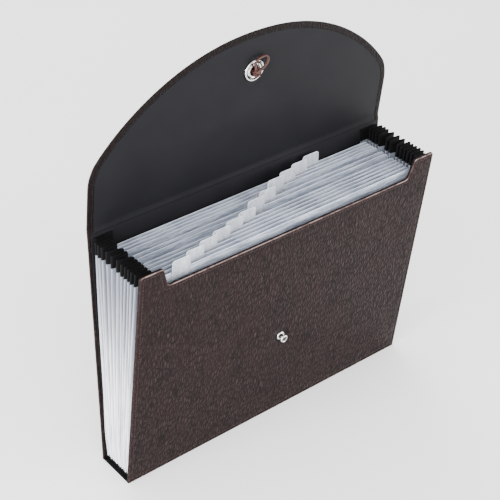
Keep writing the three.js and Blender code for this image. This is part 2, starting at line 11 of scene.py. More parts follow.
import bmesh
import bpy
from mathutils import Matrix, Vector
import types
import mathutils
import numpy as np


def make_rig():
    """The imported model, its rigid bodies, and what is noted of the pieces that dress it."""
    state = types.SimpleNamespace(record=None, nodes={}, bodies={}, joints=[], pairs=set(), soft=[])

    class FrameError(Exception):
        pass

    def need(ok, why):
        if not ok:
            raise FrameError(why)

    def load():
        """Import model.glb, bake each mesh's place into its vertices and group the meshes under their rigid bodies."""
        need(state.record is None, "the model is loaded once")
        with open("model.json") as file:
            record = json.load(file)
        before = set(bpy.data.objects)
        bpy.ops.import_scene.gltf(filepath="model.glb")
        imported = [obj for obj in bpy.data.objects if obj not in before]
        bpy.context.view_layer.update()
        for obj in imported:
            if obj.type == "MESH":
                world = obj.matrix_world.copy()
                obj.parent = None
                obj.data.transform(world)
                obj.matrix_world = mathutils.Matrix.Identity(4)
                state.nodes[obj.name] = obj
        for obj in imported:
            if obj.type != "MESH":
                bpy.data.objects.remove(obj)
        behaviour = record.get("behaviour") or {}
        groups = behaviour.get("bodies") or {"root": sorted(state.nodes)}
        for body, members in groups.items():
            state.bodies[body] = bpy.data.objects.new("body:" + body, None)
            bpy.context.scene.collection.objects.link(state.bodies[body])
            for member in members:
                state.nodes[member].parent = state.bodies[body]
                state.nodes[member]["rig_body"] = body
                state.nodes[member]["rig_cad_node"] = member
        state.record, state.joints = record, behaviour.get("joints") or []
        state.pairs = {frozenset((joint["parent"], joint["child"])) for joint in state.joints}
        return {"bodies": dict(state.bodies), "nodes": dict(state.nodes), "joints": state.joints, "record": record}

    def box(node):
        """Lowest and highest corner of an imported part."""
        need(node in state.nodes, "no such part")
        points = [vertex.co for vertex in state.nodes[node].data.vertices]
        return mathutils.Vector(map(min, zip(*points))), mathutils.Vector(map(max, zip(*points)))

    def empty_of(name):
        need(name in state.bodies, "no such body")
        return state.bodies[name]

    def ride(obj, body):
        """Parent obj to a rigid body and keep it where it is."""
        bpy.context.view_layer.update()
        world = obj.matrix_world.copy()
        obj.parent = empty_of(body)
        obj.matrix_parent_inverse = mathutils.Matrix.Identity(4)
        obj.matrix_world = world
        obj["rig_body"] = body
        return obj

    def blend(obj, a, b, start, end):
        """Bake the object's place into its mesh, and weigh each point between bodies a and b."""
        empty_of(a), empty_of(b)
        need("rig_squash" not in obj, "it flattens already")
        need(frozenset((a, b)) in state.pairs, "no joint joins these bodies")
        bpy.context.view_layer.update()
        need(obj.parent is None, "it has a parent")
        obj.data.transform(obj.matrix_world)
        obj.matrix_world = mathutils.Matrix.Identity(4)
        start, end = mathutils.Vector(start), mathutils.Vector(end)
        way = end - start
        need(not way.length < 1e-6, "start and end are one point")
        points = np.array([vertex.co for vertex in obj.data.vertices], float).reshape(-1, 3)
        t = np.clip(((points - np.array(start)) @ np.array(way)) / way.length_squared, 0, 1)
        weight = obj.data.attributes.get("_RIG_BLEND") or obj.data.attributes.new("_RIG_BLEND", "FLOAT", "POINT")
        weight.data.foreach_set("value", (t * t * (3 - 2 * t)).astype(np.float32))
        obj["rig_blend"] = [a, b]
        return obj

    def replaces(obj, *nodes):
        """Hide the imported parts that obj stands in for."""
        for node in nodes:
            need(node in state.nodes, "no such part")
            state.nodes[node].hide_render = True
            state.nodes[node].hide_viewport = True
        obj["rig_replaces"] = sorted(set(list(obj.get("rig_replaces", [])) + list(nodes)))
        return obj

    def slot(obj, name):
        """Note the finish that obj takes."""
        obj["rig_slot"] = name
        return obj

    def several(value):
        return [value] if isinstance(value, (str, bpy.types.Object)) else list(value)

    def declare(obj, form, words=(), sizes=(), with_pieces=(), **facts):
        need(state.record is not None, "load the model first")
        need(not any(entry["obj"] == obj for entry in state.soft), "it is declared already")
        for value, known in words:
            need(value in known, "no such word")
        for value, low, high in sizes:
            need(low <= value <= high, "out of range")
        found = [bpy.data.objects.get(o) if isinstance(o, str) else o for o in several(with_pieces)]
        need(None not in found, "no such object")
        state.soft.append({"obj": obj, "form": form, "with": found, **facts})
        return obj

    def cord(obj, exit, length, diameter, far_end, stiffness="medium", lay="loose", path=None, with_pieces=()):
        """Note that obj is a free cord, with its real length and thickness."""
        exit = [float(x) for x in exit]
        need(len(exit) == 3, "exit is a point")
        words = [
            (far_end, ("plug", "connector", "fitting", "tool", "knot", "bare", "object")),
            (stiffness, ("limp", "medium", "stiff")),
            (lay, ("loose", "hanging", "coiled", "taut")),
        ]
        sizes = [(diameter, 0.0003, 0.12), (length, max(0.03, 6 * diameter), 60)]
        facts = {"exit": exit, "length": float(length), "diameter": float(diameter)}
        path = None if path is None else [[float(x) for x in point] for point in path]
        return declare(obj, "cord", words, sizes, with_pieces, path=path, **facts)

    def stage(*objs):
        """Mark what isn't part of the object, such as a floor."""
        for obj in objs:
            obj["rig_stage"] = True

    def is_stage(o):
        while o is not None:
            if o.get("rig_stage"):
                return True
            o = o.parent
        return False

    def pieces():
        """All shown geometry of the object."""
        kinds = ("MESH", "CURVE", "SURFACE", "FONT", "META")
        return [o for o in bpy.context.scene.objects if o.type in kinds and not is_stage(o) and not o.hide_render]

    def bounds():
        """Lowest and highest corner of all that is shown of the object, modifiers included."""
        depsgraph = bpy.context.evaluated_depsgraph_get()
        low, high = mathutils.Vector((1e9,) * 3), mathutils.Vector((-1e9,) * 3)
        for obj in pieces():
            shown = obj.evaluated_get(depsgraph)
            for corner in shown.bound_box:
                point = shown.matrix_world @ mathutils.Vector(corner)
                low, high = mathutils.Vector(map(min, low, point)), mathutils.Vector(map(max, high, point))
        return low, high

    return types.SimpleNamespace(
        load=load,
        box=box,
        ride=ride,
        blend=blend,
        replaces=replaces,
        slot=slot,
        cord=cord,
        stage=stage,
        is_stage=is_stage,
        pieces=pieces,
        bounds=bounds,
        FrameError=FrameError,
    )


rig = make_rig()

# Names, units and kinds
LOG = logging.getLogger("expanding_file")
MM = 0.001
SAME_POINT = 1e-6
SIZE_FILE = "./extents.json"
PLACE = "rest_place"
RIM = "rim"
WALL = "wall"
TOP_EDGE = "top_edge"
GROOVE = "groove"

Flat = tuple[float, float]
Solid = tuple[float, float, float]
Rgb = tuple[int, int, int]
Piece = bpy.types.Object
Material = bpy.types.Material
Socket = bpy.types.NodeSocket
Group = bpy.types.NodeTree


class Slot(Enum):
    """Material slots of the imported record."""

    LEATHER = "leather"
    LINING = "lining"
    BLACK = "black"
    FILM = "film"
    CLEAR = "clear"
    CHROME = "chrome"
    CORD = "cord"


class Pick(Enum):
    """What a selection in edit mode holds."""

    EDGE = "edges"
    FACE = "faces"


class Side(Enum):
    """The file's two open sides, with the sign of x."""

    LEFT = -1
    RIGHT = 1


class Look(NamedTuple):
    """A material and the slot of the record that it belongs to."""

    material: Material
    slot: Slot


def linear(colour: Rgb) -> tuple[float, ...]:
    """A display colour of 0 to 255 as the linear colour, with alpha, that a shader takes."""
    shares = [c / 255 for c in colour]
    return (*(s / 12.92 if s <= 0.04045 else ((s + 0.055) / 1.055) ** 2.4 for s in shares), 1.0)


def smoothstep(t: float) -> float:
    """A smooth rise from 0 to 1, held at both ends."""
    t = min(max(t, 0.0), 1.0)
    return t * t * (3 - 2 * t)


def smoothstep_inverse(value: float) -> float:
    """The t at which smoothstep gives this value."""
    return 0.5 - math.sin(math.asin(1 - 2 * min(max(value, 0.0), 1.0)) / 3)


# Frames and shared sizes
@dataclass(frozen=True)
class Panel:
    """A flat panel's own frame: x along the width, s up the panel, n towards the front."""

    y: float
    z: float
    lean_deg: float

    @property
    def up(self) -> Vector:
        """The direction of s."""
        a = math.radians(self.lean_deg)
        return Vector((0, -math.sin(a), math.cos(a)))

    @property
    def front(self) -> Vector:
        """The direction of n."""
        a = math.radians(self.lean_deg)
        return Vector((0, -math.cos(a), -math.sin(a)))

    def matrix(self) -> Matrix:
        """The panel's frame as a matrix."""
        turn = Matrix(((1, 0, 0), self.up, self.front)).transposed().to_4x4()
        return Matrix.Translation((0, self.y, self.z)) @ turn

    def point(self, x: float, s: float, n: float) -> Vector:
        """A point of the panel in the shared frame."""
        return self.matrix() @ Vector((x, s, n))


@dataclass(frozen=True)
class Layout:
    """Sizes that the sub-assemblies share, in metres and degrees."""

    half: float = 165 * MM
    bottom_depth: float = 41 * MM
    cover_thick: float = 3.2 * MM
    cover_foot: float = 1.2 * MM
    hinge_z: float = 1.6 * MM
    front_top: float = 238.4 * MM
    back_top: float = 240.85 * MM
    stud_s: float = 95.4 * MM
    flap_rise: float = 1.35 * MM
    flap_thick: float = 2.0 * MM
    flap_lean_deg: float = 4.0
    shares: tuple[float, ...] = (0.6, 0.6, 0.6, 0.7, 2.6, 1.1, 2.4, 0.7, 0.7, 0.7, 0.75, 0.75, 0.8)
    upright: int = 6
    wedge_deg: float = 8.4
    divider_foot_z: float = 4.4 * MM

    @property
    def pockets(self) -> int:
        """How many pockets the file has."""
        return len(self.shares)

    @property
    def hinge_y(self) -> float:
        """How far each cover's hinge line lies from the middle."""
        return (self.bottom_depth - self.cover_thick) / 2

    def is_cover(self, i: int) -> bool:
        """Whether panel i is one of the covers: 0 is the back one and the last is the front one."""
        return i in (0, self.pockets)

    def lean(self, i: int) -> float:
        """Lean of panel i in degrees."""
        return sum(self.shares[:i], -sum(self.shares[: self.upright])) / sum(self.shares) * self.wedge_deg

    def ratio(self, i: int) -> float:
        """How far panel i turns for each degree of the front cover."""
        return self.lean(i) / self.lean(self.pockets)

    def foot_y(self, i: int) -> float:
        """Where panel i stands on the bottom."""
        inner = self.bottom_depth / 2 - self.cover_thick
        return inner - 2 * inner * i / self.pockets

    def y_at(self, i: int, z: float) -> float:
        """Where panel i's inner face lies at a height."""
        z0 = self.hinge_z if self.is_cover(i) else self.divider_foot_z
        return self.foot_y(i) - (z - z0) * math.tan(math.radians(self.lean(i)))

    def body(self, i: int) -> str:
        """The body that panel i rides on."""
        names = {0: "back", self.upright: "base", self.pockets: "front"}
        return names.get(i, f"leaf_{i:02d}")

    @property
    def front_panel(self) -> Panel:
        """The front cover's frame."""
        return Panel(-self.hinge_y, self.hinge_z, self.lean(self.pockets))

    @property
    def back_panel(self) -> Panel:
        """The back cover's frame."""
        return Panel(self.hinge_y, self.hinge_z, self.lean(0))

    @property
    def flap_panel(self) -> Panel:
        """The flap's frame, on its hinge line."""
        p = self.back_panel.point(0, self.back_top + self.flap_rise, (self.flap_thick - self.cover_thick) / 2)
        return Panel(p.y, p.z, self.flap_lean_deg)

    @property
    def stud_place(self) -> Vector:
        """Where the stud stands on the front cover's outer face."""
        return self.front_panel.point(0, self.stud_s, self.cover_thick / 2)


LAYOUT = Layout()


# Modelling by hand
class Bench:
    """Blender's modelling operators, used on one piece at a time."""

    @staticmethod
    def clear() -> None:
        """Leaves edit mode and deselects everything."""
        active = bpy.context.view_layer.objects.active
        if active is not None and active.mode != "OBJECT":
            bpy.ops.object.mode_set(mode="OBJECT")
        bpy.ops.object.select_all(action="DESELECT")

    @staticmethod
    def take(*pieces: Piece) -> None:
        """Selects some pieces and nothing else.

        Args:
            pieces: The pieces, with the one to make active first.
        """
        Bench.clear()
        for obj in pieces:
            obj.select_set(True)
        bpy.context.view_layer.objects.active = pieces[0]

    @staticmethod
    def edit(obj: Piece) -> None:
        """Enters edit mode with all of a piece selected.

        Args:
            obj: The piece.
        """
        Bench.take(obj)
        bpy.ops.object.mode_set(mode="EDIT")
        bpy.ops.mesh.select_all(action="SELECT")

    @staticmethod
    def choose(obj: Piece, pick: Pick, test: Callable[[Any], bool]) -> None:
        """Selects what passes a test, in edit mode.

        Args:
            obj: The piece in edit mode.
            pick: Edges or faces.
            test: Takes an edge or a face and says whether it is selected.
        """
        bpy.ops.mesh.select_mode(type=pick.name)
        bpy.ops.mesh.select_all(action="DESELECT")
        mesh = bmesh.from_edit_mesh(obj.data)
        for item in filter(test, getattr(mesh, pick.value)):
            item.select_set(True)
        bmesh.update_edit_mesh(obj.data)

    @staticmethod
    def face_out(obj: Piece) -> Piece:
        """Turns a closed piece's faces outwards.

        Args:
            obj: The piece.

        Returns:
            The piece.
        """
        Bench.edit(obj)
        bpy.ops.mesh.normals_make_consistent(inside=False)
        Bench.clear()
        return obj

    @staticmethod
    def close(obj: Piece) -> Piece:
        """Merges a shell's seams, fills its open ends and turns its faces outwards.

        Args:
            obj: The shell.

        Returns:
            The closed piece.
        """
        Bench.edit(obj)
        bpy.ops.mesh.remove_doubles(threshold=SAME_POINT)
        bpy.ops.mesh.fill_holes(sides=0)
        bpy.ops.mesh.select_all(action="SELECT")
        bpy.ops.mesh.dissolve_degenerate(threshold=SAME_POINT)
        return Bench.face_out(obj)

    @staticmethod
    def named(name: str) -> Piece:
        """Names the piece that an operator has just made.

        Args:
            name: The name for the object and its data.

        Returns:
            The piece.
        """
        obj = bpy.context.object
        obj.name = name
        obj.data.name = name
        return obj

    @staticmethod
    def copy(obj: Piece, name: str) -> Piece:
        """A copy of a piece.

        Args:
            obj: The piece.
            name: The copy's name.

        Returns:
            The copy, with its own mesh.
        """
        Bench.take(obj)
        bpy.ops.object.duplicate()
        return Bench.named(name)

    @staticmethod
    def loop(name: str, points: Sequence[Solid], filled: bool) -> Piece:
        """A closed loop, in edit mode.

        Args:
            name: The piece's name.
            points: The loop's points.
            filled: Whether one face fills it.

        Returns:
            The loop, with all of it selected.
        """
        Bench.clear()
        fill = "NGON" if filled else "NOTHING"
        bpy.ops.mesh.primitive_circle_add(vertices=len(points), radius=1, fill_type=fill)
        obj = Bench.named(name)
        for vertex, point in zip(obj.data.vertices, points):
            vertex.co = point
        Bench.edit(obj)
        return obj

    @staticmethod
    def plate(name: str, outline: Sequence[Flat], n0: float, n1: float, rounding: float) -> Piece:
        """A flat plate of any outline.

        Args:
            name: The piece's name.
            outline: Its points in x and s.
            n0: Height of its plain face.
            n1: Height of the face whose edge is rounded.
            rounding: How far the rounding reaches.

        Returns:
            The closed plate, in the panel's frame.
        """
        obj = Bench.loop(name, [(x, s, n0) for x, s in outline], True)
        bpy.ops.mesh.extrude_region_move(TRANSFORM_OT_translate={"value": (0, 0, n1 - n0)})
        Bench.edit(Bench.face_out(obj))
        Bench.choose(obj, Pick.EDGE, lambda e: all(abs(v.co.z - n1) < SAME_POINT for v in e.verts))
        bpy.ops.mesh.bevel(offset=rounding, segments=2, profile=0.5, affect="EDGES")
        Bench.clear()
        return obj

    @staticmethod
    def sink(obj: Piece, n: float, steps: Sequence[Flat]) -> None:
        """Insets a plate's upper face in steps.

        Args:
            obj: The plate.
            n: Height of the face.
            steps: Each inset's width and depth, where a positive depth stands out.
        """
        upward = 0.99
        Bench.edit(obj)
        Bench.choose(
            obj,
            Pick.FACE,
            lambda f: f.normal.z > upward and all(abs(v.co.z - n) < SAME_POINT for v in f.verts),
        )
        for thickness, depth in steps:
            bpy.ops.mesh.inset(thickness=thickness, depth=depth, use_even_offset=True)
        Bench.clear()

    @staticmethod
    def grid(name: str, across: int, along: int, place: Callable[[int, int], Sequence[float]]) -> Piece:
        """A grid whose points are put in place one by one.

        Args:
            name: The piece's name.
            across: Faces in the first direction.
            along: Faces in the second direction.
            place: Gives the point for a column and a row.

        Returns:
            The shaped surface, with the grid's own UV map.
        """
        Bench.clear()
        bpy.ops.mesh.primitive_grid_add(x_subdivisions=across, y_subdivisions=along, size=1)
        obj = Bench.named(name)
        for vertex in obj.data.vertices:
            column = round((vertex.co.x + 0.5) * across)
            row = round((vertex.co.y + 0.5) * along)
            vertex.co = place(column, row)
        return obj

    @staticmethod
    def loft(name: str, outline: Callable[[float], list[Flat]], rows: Sequence[Flat]) -> Piece:
        """A plate with shaped faces and edges, from one outline at several insets.

        Args:
            name: The piece's name.
            outline: Gives the outline, with the same number of points at every inset.
            rows: Each row's inset and height, from the middle of one face round the edge to the other.

        Returns:
            The closed plate, in the panel's frame.
        """
        loops = [outline(inset) for inset, _ in rows]
        count = len(loops[0])
        shell = Bench.grid(name, count, len(rows) - 1, lambda c, r: (*loops[r][c % count], rows[r][1]))
        return Bench.close(shell)

    @staticmethod
    def slice(obj: Piece, levels: Sequence[float]) -> None:
        """Cuts rows across a plate, so that it can bend there.

        Args:
            obj: The plate.
            levels: The values of s to cut at.
        """
        Bench.edit(obj)
        for s in levels:
            bpy.ops.mesh.select_all(action="SELECT")
            bpy.ops.mesh.bisect(plane_co=(0, s, 0), plane_no=(0, 1, 0))
        Bench.clear()

    @staticmethod
    def part_at(obj: Piece, s: float, keep_upper: bool, name: str) -> Piece:
        """A copy of a plate on one side of a cut across it.

        Args:
            obj: The whole plate.
            s: Where it is cut.
            keep_upper: Whether the copy is the part above the cut.
            name: The copy's name.

        Returns:
            The copy, closed at the cut.
        """
        part = Bench.copy(obj, name)
        Bench.edit(part)
        bpy.ops.mesh.bisect(
            plane_co=(0, s, 0),
            plane_no=(0, 1, 0),
            use_fill=True,
            clear_inner=keep_upper,
            clear_outer=not keep_upper,
        )
        Bench.clear()
        return part

    @staticmethod
    def spun(name: str, section: Sequence[Flat], s: float, steps: int) -> Piece:
        """A turned piece about an axis along n, in the middle of the width.

        Args:
            name: The piece's name.
            section: Its closed section, as radius and n.
            s: Where the axis stands up the panel.
            steps: Faces round the axis.

        Returns:
            The closed piece, in the panel's frame.
        """
        obj = Bench.loop(name, [(radius, s, n) for radius, n in section], False)
        bpy.ops.mesh.spin(steps=steps, angle=2 * math.pi, center=(0, s, 0), axis=(0, 0, 1))
        return Bench.close(obj)

    @staticmethod
    def tube(name: str, path: Sequence[Vector], radius: float) -> Piece:
        """A round cord along a path.

        Args:
            name: The piece's name.
            path: The points that its middle follows.
            radius: The cord's radius.

        Returns:
            The closed tube, with its UV map's second direction along the cord.
        """
        around, last = 12, len(path) - 1
        tangents = [(path[min(i + 1, last)] - path[max(i - 1, 0)]).normalized() for i in range(last + 1)]
        sides = [tangents[0].orthogonal().normalized()]
        for before, after in zip(tangents, tangents[1:]):
            side = before.rotation_difference(after) @ sides[-1]
            sides.append((side - after * side.dot(after)).normalized())

        def place(column: int, row: int) -> Vector:
            """A point of the cord's skin."""
            a, over = 2 * math.pi * column / around, tangents[row].cross(sides[row])
            return path[row] + radius * (math.cos(a) * sides[row] + math.sin(a) * over)

        return Bench.close(Bench.grid(name, around, last, place))

    @staticmethod
    def modify(obj: Piece, kind: str, **settings: Any) -> None:
        """Adds a modifier and applies it.

        Args:
            obj: The piece.
            kind: The modifier's type.
            settings: The modifier's properties.
        """
        Bench.take(obj)
        modifier = obj.modifiers.new(kind.title(), kind)
        for key, value in settings.items():
            setattr(modifier, key, value)
        bpy.ops.object.modifier_apply(modifier=modifier.name)

    @staticmethod
    def join(pieces: Sequence[Piece], name: str) -> Piece:
        """Joins several pieces into one.

        Args:
            pieces: The pieces.
            name: The name of the whole.

        Returns:
            The whole.
        """
        Bench.take(*pieces)
        bpy.ops.object.join()
        return Bench.named(name)

    @staticmethod
    def drop(*pieces: Piece) -> None:
        """Removes helpers that aren't part of the object.

        Args:
            pieces: The helpers.
        """
        Bench.clear()
        for obj in pieces:
            bpy.data.objects.remove(obj, do_unlink=True)

    @staticmethod
    def settle(obj: Piece, matrix: Matrix) -> Piece:
        """Puts a piece in the shared frame, with its place in its mesh.

        Args:
            obj: The piece.
            matrix: The frame that it was modelled in.

        Returns:
            The piece.
        """
        Bench.take(obj)
        obj.matrix_world = matrix
        bpy.ops.object.transform_apply(location=True, rotation=True, scale=True)
        return obj

    @staticmethod
    def dress(obj: Piece, look: Look, smooth_deg: float = 35) -> Piece:
        """Gives a piece in the shared frame its material, slot, shading and rest coordinates.

        Args:
            obj: The piece.
            look: Its material and slot.
            smooth_deg: The angle above which an edge stays crisp.

        Returns:
            The piece.
        """
        Bench.take(obj)
        bpy.ops.object.shade_smooth_by_angle(angle=math.radians(smooth_deg))
        obj.data.materials.clear()
        obj.data.materials.append(look.material)
        place = obj.data.attributes.new(PLACE, "FLOAT_VECTOR", "POINT")
        place.data.foreach_set("vector", [c for v in obj.data.vertices for c in v.co])
        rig.slot(obj, look.slot.value)
        Bench.clear()
        return obj

    @staticmethod
    def fit(obj: Piece, look: Look, body: str, *nodes: str, smooth_deg: float = 35) -> Piece:
        """Dresses a piece and puts it on its body.

        Args:
            obj: The piece, in the shared frame.
            look: Its material and slot.
            body: The body that it rides on.
            nodes: The CAD nodes that it stands for.
            smooth_deg: The angle above which an edge stays crisp.

        Returns:
            The piece.
        """
        Bench.dress(obj, look, smooth_deg)
        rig.ride(obj, body)
        if nodes:
            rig.replaces(obj, *nodes)
        return obj


# Outlines and the marks that finishes read
def corner(cx: float, cy: float, r: float, start: float, end: float) -> list[Flat]:
    """Points round a corner.

    Args:
        cx: The first coordinate of the corner's centre.
        cy: The second coordinate of the corner's centre.
        r: The radius.
        start: The first angle in degrees.
        end: The last angle in degrees.

    Returns:
        The points, with both ends.
    """
    steps = 6
    angles = [math.radians(start + (end - start) * i / steps) for i in range(steps + 1)]
    return [(cx + r * math.cos(a), cy + r * math.sin(a)) for a in angles]


def rectangle(half: float, s0: float, s1: float, radius: float, inset: float = 0) -> list[Flat]:
    """An upright rectangle with two rounded top corners.

    Args:
        half: Half of its width.
        s0: Its lower edge.
        s1: Its upper edge.
        radius: The corners' radius.
        inset: How far the whole outline is moved in.

    Returns:
        The outline in x and s.
    """
    least = 0.6 * MM
    h, low, high = half - inset, s0 + inset, s1 - inset
    r = max(radius - inset, least)
    ends = corner(h - r, high - r, r, 0, 90), corner(-h + r, high - r, r, 90, 180)
    return [(-h, low), (h, low), *ends[0], *ends[1]]


def mirrored(right: Sequence[Flat]) -> list[Flat]:
    """A right half with its mirror image, where a point on the middle line isn't repeated."""
    return [*right, *((-x, s) for x, s in reversed(right) if abs(x) > SAME_POINT)]


def even(points: Sequence[Flat], step: float) -> list[Flat]:
    """A polyline with points added.

    Args:
        points: The polyline.
        step: The longest that one of its parts may be.

    Returns:
        The longer list of points.
    """
    out = [points[0]]
    for (x0, s0), (x1, s1) in zip(points, points[1:]):
        parts = max(1, math.ceil(math.hypot(x1 - x0, s1 - s0) / step))
        shares = [k / parts for k in range(1, parts + 1)]
        out += [(x0 + (x1 - x0) * k, s0 + (s1 - s0) * k) for k in shares]
    return out


def edge_rows(n_from: float, n_to: float, r_from: float, r_to: float, steps: int) -> list[Flat]:
    """Rows round a plate's edge, as insets and heights.

    Args:
        n_from: Height of the face that it starts on.
        n_to: Height of the face that it ends on.
        r_from: Rounding of the first face's edge.
        r_to: Rounding of the second face's edge.
        steps: Rows in each rounding.

    Returns:
        The rows, with both faces' outermost points as the first and the last.
    """
    sign = 1 if n_to > n_from else -1
    angles = [math.pi / 2 * k / steps for k in range(steps + 1)]
    first = [(r_from * (1 - math.sin(a)), n_from + sign * r_from * (1 - math.cos(a))) for a in angles]
    last = [(r_to * (1 - math.cos(a)), n_to - sign * r_to * (1 - math.sin(a))) for a in angles]
    return [*first, *last]


def edge_gaps(obj: Piece, line: Sequence[Flat]) -> list[Flat]:
    """How far each point of a plate lies from an open line, and how level the line is there.

    Args:
        obj: A plate that is still in its panel's frame.
        line: The line in x and s.

    Returns:
        For each point the gap, seen square to the plate, and a share from 0, upright, to 1, level.
    """
    pairs = [(Vector(a), Vector(b)) for a, b in zip(line, line[1:]) if a != b]
    gaps = []
    for vertex in obj.data.vertices:
        p = vertex.co.xy
        best = (math.inf, 0.0)
        for a, b in pairs:
            d = b - a
            t = min(max((p - a).dot(d) / d.length_squared, 0), 1)
            best = min(best, ((p - a - d * t).length, abs(d.x) / d.length))
        gaps.append(best)
    return gaps


def write_mark(obj: Piece, name: str, values: Sequence[float]) -> None:
    """Keeps one number for each point, for the finishes to read."""
    attribute = obj.data.attributes.new(name, "FLOAT", "POINT")
    attribute.data.foreach_set("value", values)


def mark_rim(obj: Piece, line: Sequence[Flat], reach: float) -> None:
    """Marks a sheet's cut edge, from 1 on its closed outline to 0 at a distance."""
    gaps = edge_gaps(obj, [*line, line[0]])
    write_mark(obj, RIM, [1 - min(gap / reach, 1) for gap, _ in gaps])


def mark_turned_edge(obj: Piece, line: Sequence[Flat], n: float, lit: bool) -> None:
    """Marks leather that is turned over an edge, for a painted highlight along it and painted shade on its wall.

    Args:
        obj: A plate that is still in its panel's frame.
        line: The edge, as an open line.
        n: Height of the face whose edge shows.
        lit: True for an edge that gets a painted highlight where it is level, False for one that is dyed black with
            its rim.
    """
    reach, wall_reach, wall_deep = 3 * MM, 0.5 * MM, 1.5 * MM
    dyed_reach, dyed_fade, level_gap = 5 * MM, 0.25, 0.1 * MM
    gaps = edge_gaps(obj, line)
    rim, wall = [], []
    for vertex, (gap, _) in zip(obj.data.vertices, gaps):
        deep = abs(vertex.co.z - n)
        rim.append(1 - min(math.hypot(gap, deep) / reach, 1))
        # The inner part of an edge wall takes painted shade; an unlit edge adds its black dyed rim.
        side = (1 - min(gap / wall_reach, 1)) * min(deep / wall_deep, 1)
        dyed = rim[-1] if deep > level_gap else 1 - dyed_fade * min(gap / dyed_reach, 1)
        wall.append(side if lit else max(side, dyed))
    write_mark(obj, RIM, rim)
    write_mark(obj, WALL, wall)
    # Level edges that are lit get the painted highlight.
    write_mark(obj, TOP_EDGE, [level if lit else 0.0 for _, level in gaps])


def mark_grooves(obj: Piece, s: float, grooves: Sequence[Flat]) -> None:
    """Marks the grooves of a turned fitting, where the plating is painted dark as shade and reflection.

    Args:
        obj: A fitting that is still in its panel's frame.
        s: Place of its axis along the panel.
        grooves: Each groove's radius and half its width.
    """
    radii = [math.hypot(v.co.x, v.co.y - s) for v in obj.data.vertices]
    marks = [max(1 - min(abs(radius - at) / half, 1) for at, half in grooves) for radius in radii]
    write_mark(obj, GROOVE, marks)


# Shader nodes and shared effects
class NodeSheet:
    """Adds and links the nodes of one tree."""

    def __init__(self, tree: Group) -> None:
        """Keeps the tree."""
        self.tree = tree

    def fill(self, socket: Socket, value: Any) -> None:
        """Fills one input.

        Args:
            socket: The input.
            value: Another node's socket, or a plain value.
        """
        if isinstance(value, Socket):
            self.tree.links.new(value, socket)
        else:
            socket.default_value = value

    def add(self, kind: str, inputs: dict[Any, Any] | None = None, **settings: Any) -> bpy.types.Node:
        """Adds a node.

        Args:
            kind: The node's type.
            inputs: Values or other nodes' sockets, by input name or number.
            settings: The node's own properties.

        Returns:
            The node.
        """
        node = self.tree.nodes.new(kind)
        for key, value in settings.items():
            setattr(node, key, value)
        for key, value in (inputs or {}).items():
            self.fill(node.inputs[key], value)
        return node

    def math(self, operation: str, *values: Any) -> Socket:
        """A sum, product or other operation on numbers."""
        return self.add("ShaderNodeMath", dict(enumerate(values)), operation=operation).outputs[0]

    def vectors(self, operation: str, *values: Any, output: str = "Vector") -> Socket:
        """A sum, product or other operation on coordinates."""
        node = self.add("ShaderNodeVectorMath", dict(enumerate(values)), operation=operation)
        return node.outputs[output]

    def mix(self, factor: Any, a: Any, b: Any) -> Socket:
        """A mix of two colours, where a plain one is a display colour."""
        ends = [c if isinstance(c, Socket) else linear(c) for c in (a, b)]
        return self.add("ShaderNodeMix", {0: factor, 6: ends[0], 7: ends[1]}, data_type="RGBA").outputs[2]

    def rise(self, value: Any, low: float, high: float, start: float = 0, end: float = 1) -> Socket:
        """A smooth change from start to end while a value goes from low to high."""
        inputs = {0: value, 1: low, 2: high, 3: start, 4: end}
        return self.add("ShaderNodeMapRange", inputs, interpolation_type="SMOOTHSTEP").outputs[0]

    def noise(self, vector: Any, scale: Any, detail: float, roughness: float = 0.5) -> Socket:
        """Cloudy noise."""
        inputs = {"Vector": vector, "Scale": scale, "Detail": detail, "Roughness": roughness}
        return self.add("ShaderNodeTexNoise", inputs).outputs["Fac"]


class EffectSheet(NodeSheet):
    """A shader node group under construction."""

    def __init__(self, name: str, inputs: Sequence[str], outputs: Sequence[str]) -> None:
        """Makes the group and its sockets.

        Args:
            name: The group's name.
            inputs: Names of the values that it takes beside its coordinates.
            outputs: Names of the values that it puts out.
        """
        super().__init__(bpy.data.node_groups.new(name, "ShaderNodeTree"))
        sockets = [("Vector", "INPUT", "NodeSocketVector")]
        sockets += [(word, "INPUT", "NodeSocketFloat") for word in inputs]
        sockets += [(word, "OUTPUT", "NodeSocketFloat") for word in outputs]
        for word, way, kind in sockets:
            self.tree.interface.new_socket(name=word, in_out=way, socket_type=kind)
        self.given = self.add("NodeGroupInput").outputs
        self.out = self.add("NodeGroupOutput").inputs

    def put(self, **values: Socket) -> Group:
        """Links the outputs.

        Args:
            values: A socket for each output, by name.

        Returns:
            The finished group.
        """
        for word, value in values.items():
            self.fill(self.out[word], value)
        return self.tree


